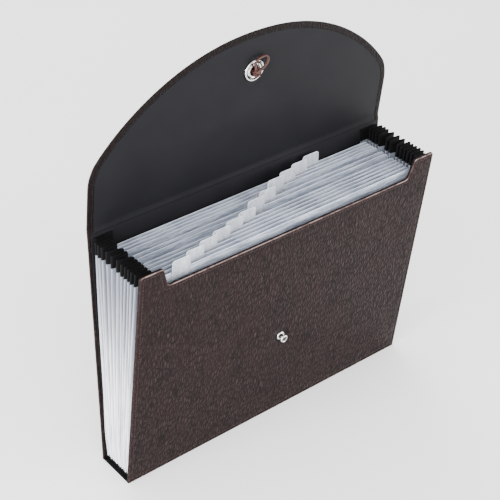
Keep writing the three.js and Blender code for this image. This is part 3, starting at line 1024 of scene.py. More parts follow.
class Effects:
    """Shader node groups that several finishes share, each built once."""

    def __init__(self) -> None:
        """Builds the groups."""
        self.grain = self._grain()
        self.weave = self._weave()
        self.streaks = self._streaks()
        self.wear = self._wear()

    @staticmethod
    def _grain() -> Group:
        """Pebbled leather: rounded cells that run up the panel, with creases between them.

        Returns:
            The group.
        """
        up_the_panel, push = (1.0, 1.0, 0.32), (0.9, 0.9, 0.9)
        sheet = EffectSheet("pebble_grain", ["Cells"], ["Height", "Crease"])
        scaled = sheet.vectors("MULTIPLY", sheet.given["Vector"], sheet.given["Cells"])
        tall = sheet.vectors("MULTIPLY", scaled, up_the_panel)
        drift = sheet.add("ShaderNodeTexNoise", {"Vector": tall, "Scale": 0.55, "Detail": 2.0})
        pushed = sheet.vectors("MULTIPLY_ADD", drift.outputs["Color"], push, tall)
        layout = {"Vector": pushed, "Scale": 1.0, "Randomness": 0.95}
        voronoi = sheet.add("ShaderNodeTexVoronoi", layout, feature="DISTANCE_TO_EDGE")
        cells = voronoi.outputs["Distance"]
        fine = sheet.noise(tall, 3.2, 3, 0.6)
        height = sheet.math("MULTIPLY_ADD", fine, 0.22, sheet.rise(cells, 0.0, 0.42))
        return sheet.put(Height=height, Crease=sheet.rise(cells, 0.0, 0.16, 1, 0))

    @staticmethod
    def _weave() -> Group:
        """Plain woven cloth: threads that pass over and under each other.

        Returns:
            The group.
        """
        sheet = EffectSheet("plain_weave", ["Threads"], ["Height", "Over"])
        x, y, z = sheet.add("ShaderNodeSeparateXYZ", {0: sheet.given["Vector"]}).outputs
        u = sheet.math("MULTIPLY", sheet.math("ADD", x, y), sheet.given["Threads"])
        v = sheet.math("MULTIPLY", z, sheet.given["Threads"])
        waves = [sheet.math("SINE", sheet.math("MULTIPLY", way, math.pi)) for way in (u, v)]
        turns = [sheet.math("ABSOLUTE", wave) for wave in waves]
        count = sheet.math("ADD", sheet.math("FLOOR", u), sheet.math("FLOOR", v))
        over = sheet.math("FLOORED_MODULO", count, 2.0)
        warp = sheet.math("MULTIPLY", turns[0], over)
        weft = sheet.math("MULTIPLY", turns[1], sheet.math("SUBTRACT", 1.0, over))
        return sheet.put(Height=sheet.math("ADD", warp, weft), Over=over)

    @staticmethod
    def _streaks() -> Group:
        """Long soft streaks, as in drawn plastic film.

        Returns:
            The group.
        """
        sheet = EffectSheet("film_streaks", ["Across", "Along"], ["Broad", "Fine"])
        across, along = sheet.given["Across"], sheet.given["Along"]
        ratio = sheet.add("ShaderNodeCombineXYZ", {0: across, 1: across, 2: along}).outputs[0]
        drawn = sheet.vectors("MULTIPLY", sheet.given["Vector"], ratio)
        broad = sheet.rise(sheet.noise(drawn, 1.0, 2), 0.34, 0.66)
        return sheet.put(Broad=broad, Fine=sheet.rise(sheet.noise(drawn, 4.3, 3), 0.3, 0.7))

    @staticmethod
    def _wear() -> Group:
        """Uneven colour and handling marks.

        Returns:
            The group.
        """
        finer = 14.0
        sheet = EffectSheet("handling_wear", ["Patches"], ["Cloud", "Scuff"])
        vector, patches = sheet.given["Vector"], sheet.given["Patches"]
        cloud = sheet.noise(vector, patches, 4, 0.55)
        marks = sheet.noise(vector, sheet.math("MULTIPLY", patches, finer), 5, 0.65)
        return sheet.put(Cloud=sheet.rise(cloud, 0.3, 0.7), Scuff=sheet.rise(marks, 0.6, 0.8))


class Finish(NodeSheet):
    """A material under construction, with its shader and its coordinates."""

    def __init__(self, name: str, attribute: bool = True) -> None:
        """Starts a material.

        Args:
            name: The material's name.
            attribute: Whether it reads the pieces' rest coordinates, and not Object coordinates.
        """
        self.material = bpy.data.materials.new(name)
        self.material.use_nodes = True
        super().__init__(self.material.node_tree)
        self.shader = self.tree.nodes["Principled BSDF"]
        if attribute:
            self.place = self.add("ShaderNodeAttribute", attribute_name=PLACE).outputs["Vector"]
        else:
            self.place = self.add("ShaderNodeTexCoord").outputs["Object"]

    def effect(self, group: Group, **inputs: float) -> Any:
        """Places a shared effect in the material and gives its outputs."""
        return self.add("ShaderNodeGroup", {"Vector": self.place, **inputs}, node_tree=group).outputs

    def mark(self, name: str) -> Socket:
        """A number that the pieces keep for each point."""
        return self.add("ShaderNodeAttribute", attribute_name=name).outputs["Fac"]

    def set(self, **values: Any) -> None:
        """Sets or links the shader's sockets, named with _ for a space."""
        for key, value in values.items():
            self.fill(self.shader.inputs[key.replace("_", " ")], value)

    def bump(self, height: Socket, strength: float, distance: float) -> None:
        """Raises the surface by a height."""
        inputs = {"Height": height, "Strength": strength, "Distance": distance}
        self.set(Normal=self.add("ShaderNodeBump", inputs).outputs[0])


# Finishes
@dataclass(frozen=True)
class LeatherFinish:
    """Dark pebbled leather with maroon turned edges; painted shade in its creases, on the covers' edge walls and in a
    ring round the stud; painted highlights on the grain's tops and along level edges; a black dyed rim on the flap.
    """

    stud: Solid
    name: str = "brown_leather"
    shade: Rgb = (24, 11, 11)
    light: Rgb = (28, 15, 14)
    # Painted shade in the grain's creases and in a ring round the stud.
    crease: Rgb = (8, 4, 4)
    # A painted highlight on the tops of the grain's cells.
    fleck: Rgb = (76, 60, 58)
    maroon: Rgb = (32, 13, 13)
    # A painted highlight along level turned edges.
    edge_light: Rgb = (158, 136, 131)
    # Painted shade on the covers' edge walls, and the black dye of the flap's rim.
    wall: Rgb = (9, 6, 6)
    cells: float = 400.0
    patches: float = 22.0
    bands: Solid = (85.0, 85.0, 30.0)
    # Scale of the noise that breaks up the painted edge highlight.
    rubs: float = 170.0
    rough: float = 0.45
    gloss: float = 0.08
    relief: float = 0.55 * MM
    # Where the painted shadow ring round the stud fades out.
    ring: Flat = (5.2 * MM, 7.4 * MM)
    dimple: Flat = (4 * MM, 13 * MM)
    dimple_rise: float = 5.0

    def build(self, effects: Effects) -> Material:
        """Makes the material.

        Args:
            effects: The shared effects.

        Returns:
            The material.
        """
        f = Finish(self.name)
        grain = f.effect(effects.grain, Cells=self.cells)
        wear = f.effect(effects.wear, Patches=self.patches)
        body = f.mix(wear["Cloud"], self.shade, self.light)
        bands = f.noise(f.vectors("MULTIPLY", f.place, self.bands), 1.0, 2)
        drawn = f.rise(bands, 0.38, 0.62, 0.4, 1.0)
        # Painted shade darkens the grain's creases, and painted highlights lighten the tops of its cells.
        crease_shade_mask = f.math("MULTIPLY", f.math("MULTIPLY", grain["Crease"], 0.95), drawn)
        highlight_mask = f.math("MULTIPLY", f.rise(grain["Height"], 1.0, 1.18, 0, 0.82), drawn)
        grain_highlighted = f.mix(highlight_mask, f.mix(crease_shade_mask, body, self.crease), self.fleck)
        rim, wall, top = (f.mark(word) for word in (RIM, WALL, TOP_EDGE))
        banded = f.mix(f.rise(rim, 0.0, 0.5, 0, 0.6), grain_highlighted, self.maroon)
        # A painted highlight along the level turned edges, broken up by noise.
        highlight_breaks = f.rise(f.noise(f.place, self.rubs, 2), 0.4, 0.6, 0.3, 0.85)
        level = f.math("MULTIPLY", f.rise(top, 0.0, 0.9, 0.04, 1.0), highlight_breaks)
        line = f.math("MULTIPLY", f.rise(rim, 0.66, 0.84), level)
        lit = f.mix(line, banded, self.edge_light)
        off = f.vectors("DISTANCE", f.place, self.stud, output="Value")
        # A painted shadow ring round the stud.
        shaded = f.mix(f.rise(off, *self.ring, 0.9, 0), lit, self.crease)
        # Painted shade on the covers' edge walls; the same colour dyes the flap's rim black.
        f.set(Base_Color=f.mix(f.math("MULTIPLY", wall, 0.9), shaded, self.wall))
        rough = f.math("MULTIPLY_ADD", grain["Crease"], 0.2, self.rough)
        f.set(Roughness=f.math("MULTIPLY_ADD", wear["Scuff"], 0.08, rough))
        f.set(Specular_IOR_Level=self.gloss)
        dimple = f.rise(off, *self.dimple, 0, self.dimple_rise)
        f.bump(f.math("ADD", grain["Height"], dimple), 1.0, self.relief)
        return f.material


@dataclass(frozen=True)
class WovenFinish:
    """Woven cloth: the lining, the binding tape and the bottom strip."""

    name: str
    shade: Rgb
    light: Rgb
    threads: float
    rough: float
    depth: float
    gloss: float
    patches: float = 30.0

    def build(self, effects: Effects) -> Material:
        """Makes the material.

        Args:
            effects: The shared effects.

        Returns:
            The material.
        """
        f = Finish(self.name)
        weave = f.effect(effects.weave, Threads=self.threads)
        wear = f.effect(effects.wear, Patches=self.patches)
        cloud = f.math("MULTIPLY", wear["Cloud"], 0.75)
        tint = f.math("MULTIPLY_ADD", weave["Over"], 0.25, cloud)
        f.set(Base_Color=f.mix(tint, self.shade, self.light))
        f.set(Roughness=f.math("MULTIPLY_ADD", wear["Scuff"], 0.1, self.rough))
        f.set(Specular_IOR_Level=self.gloss)
        f.bump(weave["Height"], 0.5, self.depth)
        return f.material


@dataclass(frozen=True)
class FilmFinish:
    """Frosted plastic sheet with drawn streaks, a painted highlight on its cut edges and painted shade that darkens it
    towards the top.
    """

    name: str
    shade: Rgb
    light: Rgb
    thin: float
    thick: float
    across: float
    along: float
    rough: float = 0.32
    # How far painted shade darkens the upper part.
    grey_top: float = 0.0
    lift: float = 0.0
    # Heights over which that painted shade comes in.
    greys: Flat = (60 * MM, 225 * MM)
    gloss: float = 0.5
    relief: float = 0.15 * MM

    def build(self, effects: Effects) -> Material:
        """Makes the material.

        Args:
            effects: The shared effects.

        Returns:
            The material.
        """
        f = Finish(self.name)
        streak = f.effect(effects.streaks, Across=self.across, Along=self.along)
        broad = f.math("MULTIPLY", streak["Broad"], 0.65)
        both = f.math("MULTIPLY_ADD", streak["Fine"], 0.35, broad)
        height = f.add("ShaderNodeSeparateXYZ", {0: f.place}).outputs[2]
        # Painted shade: darker towards the top.
        upper = f.rise(height, *self.greys, 0, self.grey_top)
        pale = f.math("MULTIPLY_ADD", both, 1 - self.lift, self.lift)
        tone = f.mix(upper, f.mix(pale, self.shade, self.light), self.shade)
        # A painted highlight on the cut edges, which are also more opaque.
        rim = f.mark(RIM)
        f.set(Base_Color=f.mix(f.math("MULTIPLY", rim, 0.8), tone, self.light))
        body = f.rise(both, 0.0, 1.0, self.thin, self.thick)
        f.set(Alpha=f.math("MAXIMUM", body, f.math("MULTIPLY", rim, 0.92)))
        f.set(Roughness=f.math("MULTIPLY_ADD", streak["Fine"], 0.12, self.rough))
        f.set(Specular_IOR_Level=self.gloss)
        f.bump(streak["Fine"], 0.15, self.relief)
        return f.material


@dataclass(frozen=True)
class ChromeFinish:
    """Polished plated metal with fine handling marks, and painted shade and dark reflection in its grooves."""

    name: str = "polished_chrome"
    bright: Rgb = (236, 234, 231)
    dull: Rgb = (196, 193, 189)
    dirt: Rgb = (26, 23, 22)
    patches: float = 160.0
    rough: float = 0.14

    def build(self, effects: Effects) -> Material:
        """Makes the material.

        Args:
            effects: The shared effects.

        Returns:
            The material.
        """
        f = Finish(self.name)
        wear = f.effect(effects.wear, Patches=self.patches)
        plate = f.mix(wear["Cloud"], self.bright, self.dull)
        # Painted shade and dark reflection in the fittings' grooves.
        groove_shade_mask = f.rise(f.mark(GROOVE), 0.1, 0.75, 0, 0.95)
        f.set(Base_Color=f.mix(groove_shade_mask, plate, self.dirt), Metallic=1.0)
        f.set(Roughness=f.math("MULTIPLY_ADD", wear["Scuff"], 0.14, self.rough))
        return f.material


@dataclass(frozen=True)
class CordFinish:
    """Braided cord or twisted thread, patterned along its own UV map, with painted shade in the braid's hollows."""

    name: str
    shade: Rgb
    light: Rgb
    turns: float
    strands: float
    rough: float
    gloss: float = 0.55
    patches: float = 260.0
    depth: float = 0.2 * MM

    def build(self, effects: Effects) -> Material:
        """Makes the material, with a braid that follows the cord.

        Args:
            effects: The shared effects.

        Returns:
            The material.
        """
        f = Finish(self.name)
        parts = f.add("ShaderNodeSeparateXYZ", {0: f.add("ShaderNodeUVMap").outputs[0]}).outputs
        u = f.math("MULTIPLY", parts[0], 2 * math.pi * self.strands)
        v = f.math("MULTIPLY", parts[1], 2 * math.pi * self.turns)
        ways = [f.math("SINE", f.math(turn, u, v)) for turn in ("ADD", "SUBTRACT")]
        braid = f.rise(f.math("MAXIMUM", *ways), -0.2, 1.0)
        wear = f.effect(effects.wear, Patches=self.patches)
        # Colour follows the braid's height, so its hollows are darker: painted shade, mixed with random tone.
        tint = f.math("MULTIPLY_ADD", wear["Cloud"], 0.3, f.math("MULTIPLY", braid, 0.7))
        f.set(Base_Color=f.mix(tint, self.shade, self.light))
        f.set(Roughness=f.math("MULTIPLY_ADD", wear["Scuff"], 0.1, self.rough))
        f.set(Specular_IOR_Level=self.gloss)
        f.bump(braid, 0.5, self.depth)
        return f.material


@dataclass(frozen=True)
class BoardFinish:
    """Grey pressed board, inside the covers."""

    name: str = "grey_board"
    shade: Rgb = (112, 102, 90)
    light: Rgb = (140, 130, 116)
    patches: float = 120.0
    rough: float = 0.85
    relief: float = 0.1 * MM

    def build(self, effects: Effects) -> Material:
        """Makes the material on Object coordinates, for the CAD nodes that carry it.

        Args:
            effects: The shared effects.

        Returns:
            The material.
        """
        f = Finish(self.name, attribute=False)
        wear = f.effect(effects.wear, Patches=self.patches)
        f.set(Base_Color=f.mix(wear["Cloud"], self.shade, self.light))
        f.set(Roughness=f.math("MULTIPLY_ADD", wear["Scuff"], 0.1, self.rough))
        f.bump(wear["Cloud"], 0.3, self.relief)
        return f.material


@dataclass(frozen=True)
class FloorFinish:
    """Pale, even studio floor."""

    name: str = "pale_floor"
    shade: Rgb = (248, 248, 249)
    light: Rgb = (252, 252, 252)
    patches: float = 1.5
    rough: float = 0.9

    def build(self, effects: Effects) -> Material:
        """Makes the material on Object coordinates.

        Args:
            effects: The shared effects.

        Returns:
            The material.
        """
        f = Finish(self.name, attribute=False)
        wear = f.effect(effects.wear, Patches=self.patches)
        f.set(Base_Color=f.mix(wear["Cloud"], self.shade, self.light), Roughness=self.rough)
        return f.material


class Finishes:
    """Every material of the scene, made once."""

    def __init__(self) -> None:
        """Builds the effects and then the materials."""
        fx = Effects()
        leather = LeatherFinish(tuple(LAYOUT.stud_place))
        lining = WovenFinish(
            "charcoal_lining", (17, 17, 20), (21, 21, 24),
            threads=2200.0, rough=0.6, depth=0.06 * MM, gloss=0.09,
        )
        tape = WovenFinish(
            "black_tape", (7, 7, 8), (15, 15, 16),
            threads=1300.0, rough=0.8, depth=0.15 * MM, gloss=0.06,
        )
        film = FilmFinish(
            "frosted_film", (98, 103, 116), (250, 251, 255),
            thin=0.93, thick=1.0, across=380.0, along=7.0, grey_top=0.9, lift=0.4,
        )
        divider = FilmFinish(
            "frosted_divider", (146, 156, 174), (212, 219, 232),
            thin=0.5, thick=0.75, across=40.0, along=320.0,
        )
        tab = FilmFinish(
            "clear_tab", (150, 154, 164), (206, 210, 218),
            thin=0.3, thick=0.55, across=180.0, along=60.0, rough=0.12,
        )
        cord = CordFinish(
            "brown_cord", (20, 8, 5), (78, 37, 27),
            turns=130.0, strands=4.0, rough=0.32, gloss=0.4,
        )
        thread = CordFinish(
            "brown_thread", (32, 20, 19), (56, 40, 37),
            turns=3.0, strands=1.0, rough=0.68,
        )
        dark_thread = CordFinish(
            "black_thread", (14, 14, 15), (30, 29, 31),
            turns=3.0, strands=1.0, rough=0.7, gloss=0.15,
        )
        self.leather = Look(leather.build(fx), Slot.LEATHER)
        self.lining = Look(lining.build(fx), Slot.LINING)
        self.tape = Look(tape.build(fx), Slot.BLACK)
        self.film = Look(film.build(fx), Slot.FILM)
        self.divider = Look(divider.build(fx), Slot.FILM)
        self.tab = Look(tab.build(fx), Slot.CLEAR)
        self.chrome = Look(ChromeFinish().build(fx), Slot.CHROME)
        self.cord = Look(cord.build(fx), Slot.CORD)
        self.thread = Look(thread.build(fx), Slot.LEATHER)
        self.dark_thread = Look(dark_thread.build(fx), Slot.LEATHER)
        self.board = BoardFinish().build(fx)
        self.floor = FloorFinish().build(fx)


# Covers and flap
@dataclass
class Stitching:
    """A row of stitches along a line."""

    pitch: float = 3.4 * MM
    long: float = 2.5 * MM
    thick: float = 0.62 * MM
    flatness: float = 0.75
    slant: float = 0.12

    def build(self, name: str, line: Sequence[Flat], n: float) -> Piece:
        """Models one stitch and repeats it along a line.

        Args:
            name: The piece's name.
            line: The line in x and s.
            n: The height at which the thread lies.

        Returns:
            All the stitches as one piece, in the panel's frame.
        """
        Bench.clear()
        bpy.ops.curve.primitive_nurbs_path_add()
        path = bpy.context.object
        path.data.splines.clear()
        path.data.dimensions = "3D"
        path.data.twist_mode = "Z_UP"
        spline = path.data.splines.new("POLY")
        spline.points.add(len(line) - 1)
        for point, (x, s) in zip(spline.points, line):
            point.co = (x, s, n, 1)
        Bench.clear()
        bpy.ops.mesh.primitive_uv_sphere_add(segments=6, ring_count=5, radius=0.5)
        stitch = Bench.named(name)
        Bench.edit(stitch)
        bpy.ops.transform.resize(value=(self.thick, self.thick * self.flatness, self.long))
        Bench.clear()
        for vertex in stitch.data.vertices:
            x, y, z = vertex.co
            vertex.co = (z + self.long / 2, x + self.slant * z, y)
        Bench.modify(
            stitch,
            "ARRAY",
            fit_type="FIT_CURVE",
            curve=path,
            use_relative_offset=False,
            use_constant_offset=True,
            constant_offset_displace=(self.pitch, 0, 0),
        )
        Bench.modify(stitch, "CURVE", object=path, deform_axis="POS_X")
        Bench.drop(path)
        return Bench.face_out(stitch)


@dataclass
class Cover:
    """A stiff cover: leather round a board, stitched along its edge and lined inside.

    The groove's shape pairs a distance from the seam in mm with a share of the groove's depth. The crown
    pairs a distance inside the seam with how far the leather has risen there.
    """

    name: str
    panel: Panel
    outward: int
    outline: Callable[[float], list[Flat]]
    finishes: Finishes
    open_top: bool = False
    edge_round: float = 1.15 * MM
    inner_round: float = 0.7 * MM
    inner_step: float = 0.3 * MM
    turn_in: float = 9 * MM
    stitch_in: float = 3.6 * MM
    stitch_deep: float = 0.2 * MM
    stitch_step: float = 4 * MM
    groove: float = 0.4 * MM
    groove_shape: tuple[Flat, ...] = ((-0.75, 0.0), (-0.35, 0.6), (0.0, 1.0), (0.35, 0.6), (0.75, 0.0))
    crown: tuple[Flat, ...] = ((3 * MM, 0.1 * MM), (6 * MM, 0.16 * MM))
    lining_in: float = 2.4 * MM
    lining_thick: float = 0.4 * MM
    lining_round: float = 0.25 * MM

    def build(self) -> list[Piece]:
        """Builds the leather, its stitches and the lining, riding on the cover's body.

        Returns:
            The pieces.
        """
        half, out, seam = LAYOUT.cover_thick / 2, self.outward, self.stitch_in
        outer, inner = out * half, -out * (half - self.inner_step)
        rows = [
            (self.turn_in, inner),
            *edge_rows(inner, outer, self.inner_round, self.edge_round, 4),
            *((seam + x * MM, outer - out * self.groove * deep) for x, deep in self.groove_shape),
            *((seam + x, outer + out * rise) for x, rise in self.crown),
        ]
        skin = Bench.loft(f"{self.name}_leather_skin", self.outline, rows)
        mark_turned_edge(skin, self.outline(0), outer, True)
        line = self.outline(seam)
        row = even(line if self.open_top else [*line, line[0]], self.stitch_step)
        thread = Stitching().build(f"{self.name}_stitching", row, outer - out * self.stitch_deep)
        lining = Bench.plate(
            f"{self.name}_lining_cloth",
            self.outline(self.lining_in),
            -out * (half - self.lining_thick),
            -out * half,
            self.lining_round,
        )
        for piece in (skin, thread, lining):
            Bench.settle(piece, self.panel.matrix())
        return [
            Bench.fit(skin, self.finishes.leather, self.name, f"{self.name}_leather"),
            Bench.fit(thread, self.finishes.thread, self.name),
            Bench.fit(lining, self.finishes.lining, self.name, f"{self.name}_lining"),
        ]


@dataclass
class CoverOutlines:
    """The outlines of the two covers, moved in by an inset."""

    notch: float = 20 * MM
    ear_top: float = 24 * MM
    ear_foot: float = 28 * MM
    radius: float = 3 * MM
    least_radius: float = 1 * MM
    notch_radius: float = 4 * MM
    flap_overlap: float = 2.4 * MM

    def front(self, inset: float) -> list[Flat]:
        """The front cover, with an ear at each side of the thumb cut-out.

        Args:
            inset: How far the outline is moved in.

        Returns:
            The outline in x and s.
        """
        h = LAYOUT.half - inset
        top, low = LAYOUT.front_top - inset, inset - LAYOUT.cover_foot
        notch = top - self.notch
        inner_top = LAYOUT.half - self.ear_top + inset
        inner_foot = LAYOUT.half - self.ear_foot + inset
        r, k = max(self.radius - inset * 0.5, self.least_radius), self.notch_radius
        right = [
            (h, low),
            *corner(h - r, top - r, r, 0, 90),
            *corner(inner_top + r, top - r, r, 90, 165),
            *corner(inner_foot - k, notch + k, k, -8, -90),
        ]
        return mirrored(right)

    def back(self, inset: float) -> list[Flat]:
        """The back cover, up to where the flap's leather takes over."""
        h, low, top = LAYOUT.half - inset, inset - LAYOUT.cover_foot, LAYOUT.back_top - self.flap_overlap
        return [(-h, top), (-h, low), (h, low), (h, top)]


@dataclass
class Flap:
    """The flap: a bridge over the top and an arched tongue, with folds at both of its hinge lines."""

    finishes: Finishes
    side: float = 52.3 * MM
    length: float = 139.4 * MM
    round_low: float = 12 * MM
    round_turn: float = 0.28
    x_power: float = 2 / 2.12
    s_power: float = 2 / 1.2
    side_steps: int = 4
    round_steps: int = 6
    arch_steps: int = 30
    bridge: float = 82 * MM
    foot: float = -3.8 * MM
    bend_top: float = 3 * MM
    cut: float = 41 * MM
    fold: float = 6 * MM
    fold_share: float = 0.9
    fold_step: float = 0.8 * MM
    edge_round: float = 0.75 * MM
    rim: float = 5.6 * MM
    rim_step: float = 0.3 * MM
    stitch_in: float = 4.3 * MM
    stitch_foot: float = 4 * MM
    stitch_step: float = 4 * MM
    groove_half: float = 0.7 * MM
    groove: float = 0.3 * MM
    crown: float = 0.1 * MM
    crown_in: float = 4 * MM
    lining_in: float = 0.2 * MM
    lining_sunk: Flat = (0.4 * MM, 0.02 * MM)
    lining_round: float = 0.2 * MM
    lining_foot: float = 0.05 * MM
    thread_out: float = 0.05 * MM
    thread_sunk: float = 0.1 * MM

    def _arch(self, t: float) -> Flat:
        """A point of the arch at one side, from the corner to the tip."""
        x = LAYOUT.half * max(math.cos(t), 0) ** self.x_power
        return x, self.side + (self.length - self.side) * math.sin(t) ** self.s_power

    def edge(self, low: float, inset: float) -> list[Flat]:
        """The right edge from its lowest point to the tip.

        Args:
            low: Its lowest point along s.
            inset: How far the edge is moved in.

        Returns:
            The edge in x and s.
        """
        half, turn = LAYOUT.half, self.round_turn
        corner_low, (high_x, high_s) = self.side - self.round_low, self._arch(turn)
        raw = [(half, low + (corner_low - low) * i / self.side_steps) for i in range(self.side_steps + 1)]
        for i in range(1, self.round_steps + 1):
            t = i / self.round_steps
            k0, k1, k2 = (1 - t) ** 2, 2 * t * (1 - t), t * t
            raw.append(((k0 + k1) * half + k2 * high_x, k0 * corner_low + k1 * self.side + k2 * high_s))
        step = (math.pi / 2 - turn) / self.arch_steps
        raw += [self._arch(turn + step * i) for i in range(1, self.arch_steps + 1)]
        moved = []
        last = len(raw) - 1
        for i, (x, s) in enumerate(raw):
            a, b = raw[max(i - 1, 0)], raw[min(i + 1, last)]
            dx, ds = (-1.0, 0.0) if i == last else (b[0] - a[0], b[1] - a[1])
            size = math.hypot(dx, ds)
            moved.append((x - ds / size * inset, s + dx / size * inset))
        return moved

    def outline(self, inset: float) -> list[Flat]:
        """The whole flap's outline, moved in by an inset."""
        return mirrored(self.edge(self.foot, inset))

    def build(self) -> list[Piece]:
        """Builds leather, lining and stitches, each in two parts that fold at their hinge lines.

        Returns:
            The pieces.
        """
        half, seam, rim, looks = LAYOUT.flap_thick / 2, self.stitch_in, self.rim, self.finishes
        rows = [
            (seam + self.crown_in, -half - self.crown),
            (seam + self.groove_half, -half),
            (seam, -half + self.groove),
            (seam - self.groove_half, -half),
            *edge_rows(-half, half, self.edge_round, self.edge_round, 3),
            (rim, half),
            (rim + 0.15 * MM, half - self.rim_step),
            (rim + 3 * MM, half - self.rim_step),
        ]
        skin = Bench.loft("flap_leather", self.outline, rows)
        mark_turned_edge(skin, self.outline(0), half, False)
        low, high = (half - sunk for sunk in self.lining_sunk)
        cloth = mirrored(self.edge(self.foot + self.lining_foot, rim + self.lining_in))
        lining = Bench.plate("flap_lining", cloth, low, high, self.lining_round)
        row = even(mirrored(self.edge(self.stitch_foot, seam)), self.stitch_step)
        inside = Stitching().build("flap_stitching_in", row, half + self.thread_out)
        outside = Stitching().build("flap_stitching_out", row, -half + self.thread_sunk)
        made = self._parts(skin, looks.leather, "leather")
        made += self._parts(lining, looks.lining, "lining")
        made += self._parts(inside, looks.dark_thread)
        made += self._parts(outside, looks.thread)
        return made

    def _parts(self, whole: Piece, look: Look, layer: str = "") -> list[Piece]:
        """Splits a layer across the bridge and blends each part over its own fold.

        Args:
            whole: The layer over the whole flap, in the flap's frame.
            look: Its material and slot.
            layer: The CAD layer that it stands for, if it stands for one.

        Returns:
            The lower and the upper part.
        """
        if layer:
            rows = [self.foot + self.fold_step * i for i in range(1, 13)]
            rows += [self.bridge + self.fold_step * i for i in range(-7, 8)]
            Bench.slice(whole, rows)
        name = whole.name
        lower = Bench.part_at(whole, self.cut, False, f"{name}_lower")
        upper = Bench.part_at(whole, self.cut, True, f"{name}_upper")
        Bench.drop(whole)
        panel = LAYOUT.flap_panel
        for vertex in lower.data.vertices:
            vertex.co = self._bent(vertex.co)
        Bench.dress(lower, look)
        Bench.dress(Bench.settle(upper, panel.matrix()), look)
        share = self.fold_share
        start = panel.point(0, 0, 0) + LAYOUT.back_panel.up * self.foot * share
        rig.blend(lower, "back", "bridge", start, panel.point(0, self.fold, 0))
        start, end = (panel.point(0, self.bridge + k * self.fold, 0) for k in (-share, share))
        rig.blend(upper, "bridge", "tongue", start, end)
        if layer:
            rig.replaces(lower, f"bridge_{layer}")
            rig.replaces(upper, f"bridge_{layer}", f"tongue_{layer}")
        return [lower, upper]

    def _bent(self, point: Vector) -> Vector:
        """Turns the flat flap's foot into line with the back cover.

        Args:
            point: A point in the flap's frame.

        Returns:
            Its place in the shared frame.
        """
        x, s, n = point
        flap = LAYOUT.flap_panel
        share = smoothstep((s - self.foot) / (self.bend_top - self.foot))
        lean = LAYOUT.lean(0) + (flap.lean_deg - LAYOUT.lean(0)) * share
        thick = 1 + (LAYOUT.cover_thick / LAYOUT.flap_thick - 1) * (1 - share)
        shift = (LAYOUT.cover_thick - LAYOUT.flap_thick) / 2 * (1 - share)
        return Panel(flap.y, flap.z, lean).point(x, s, n * thick + shift)


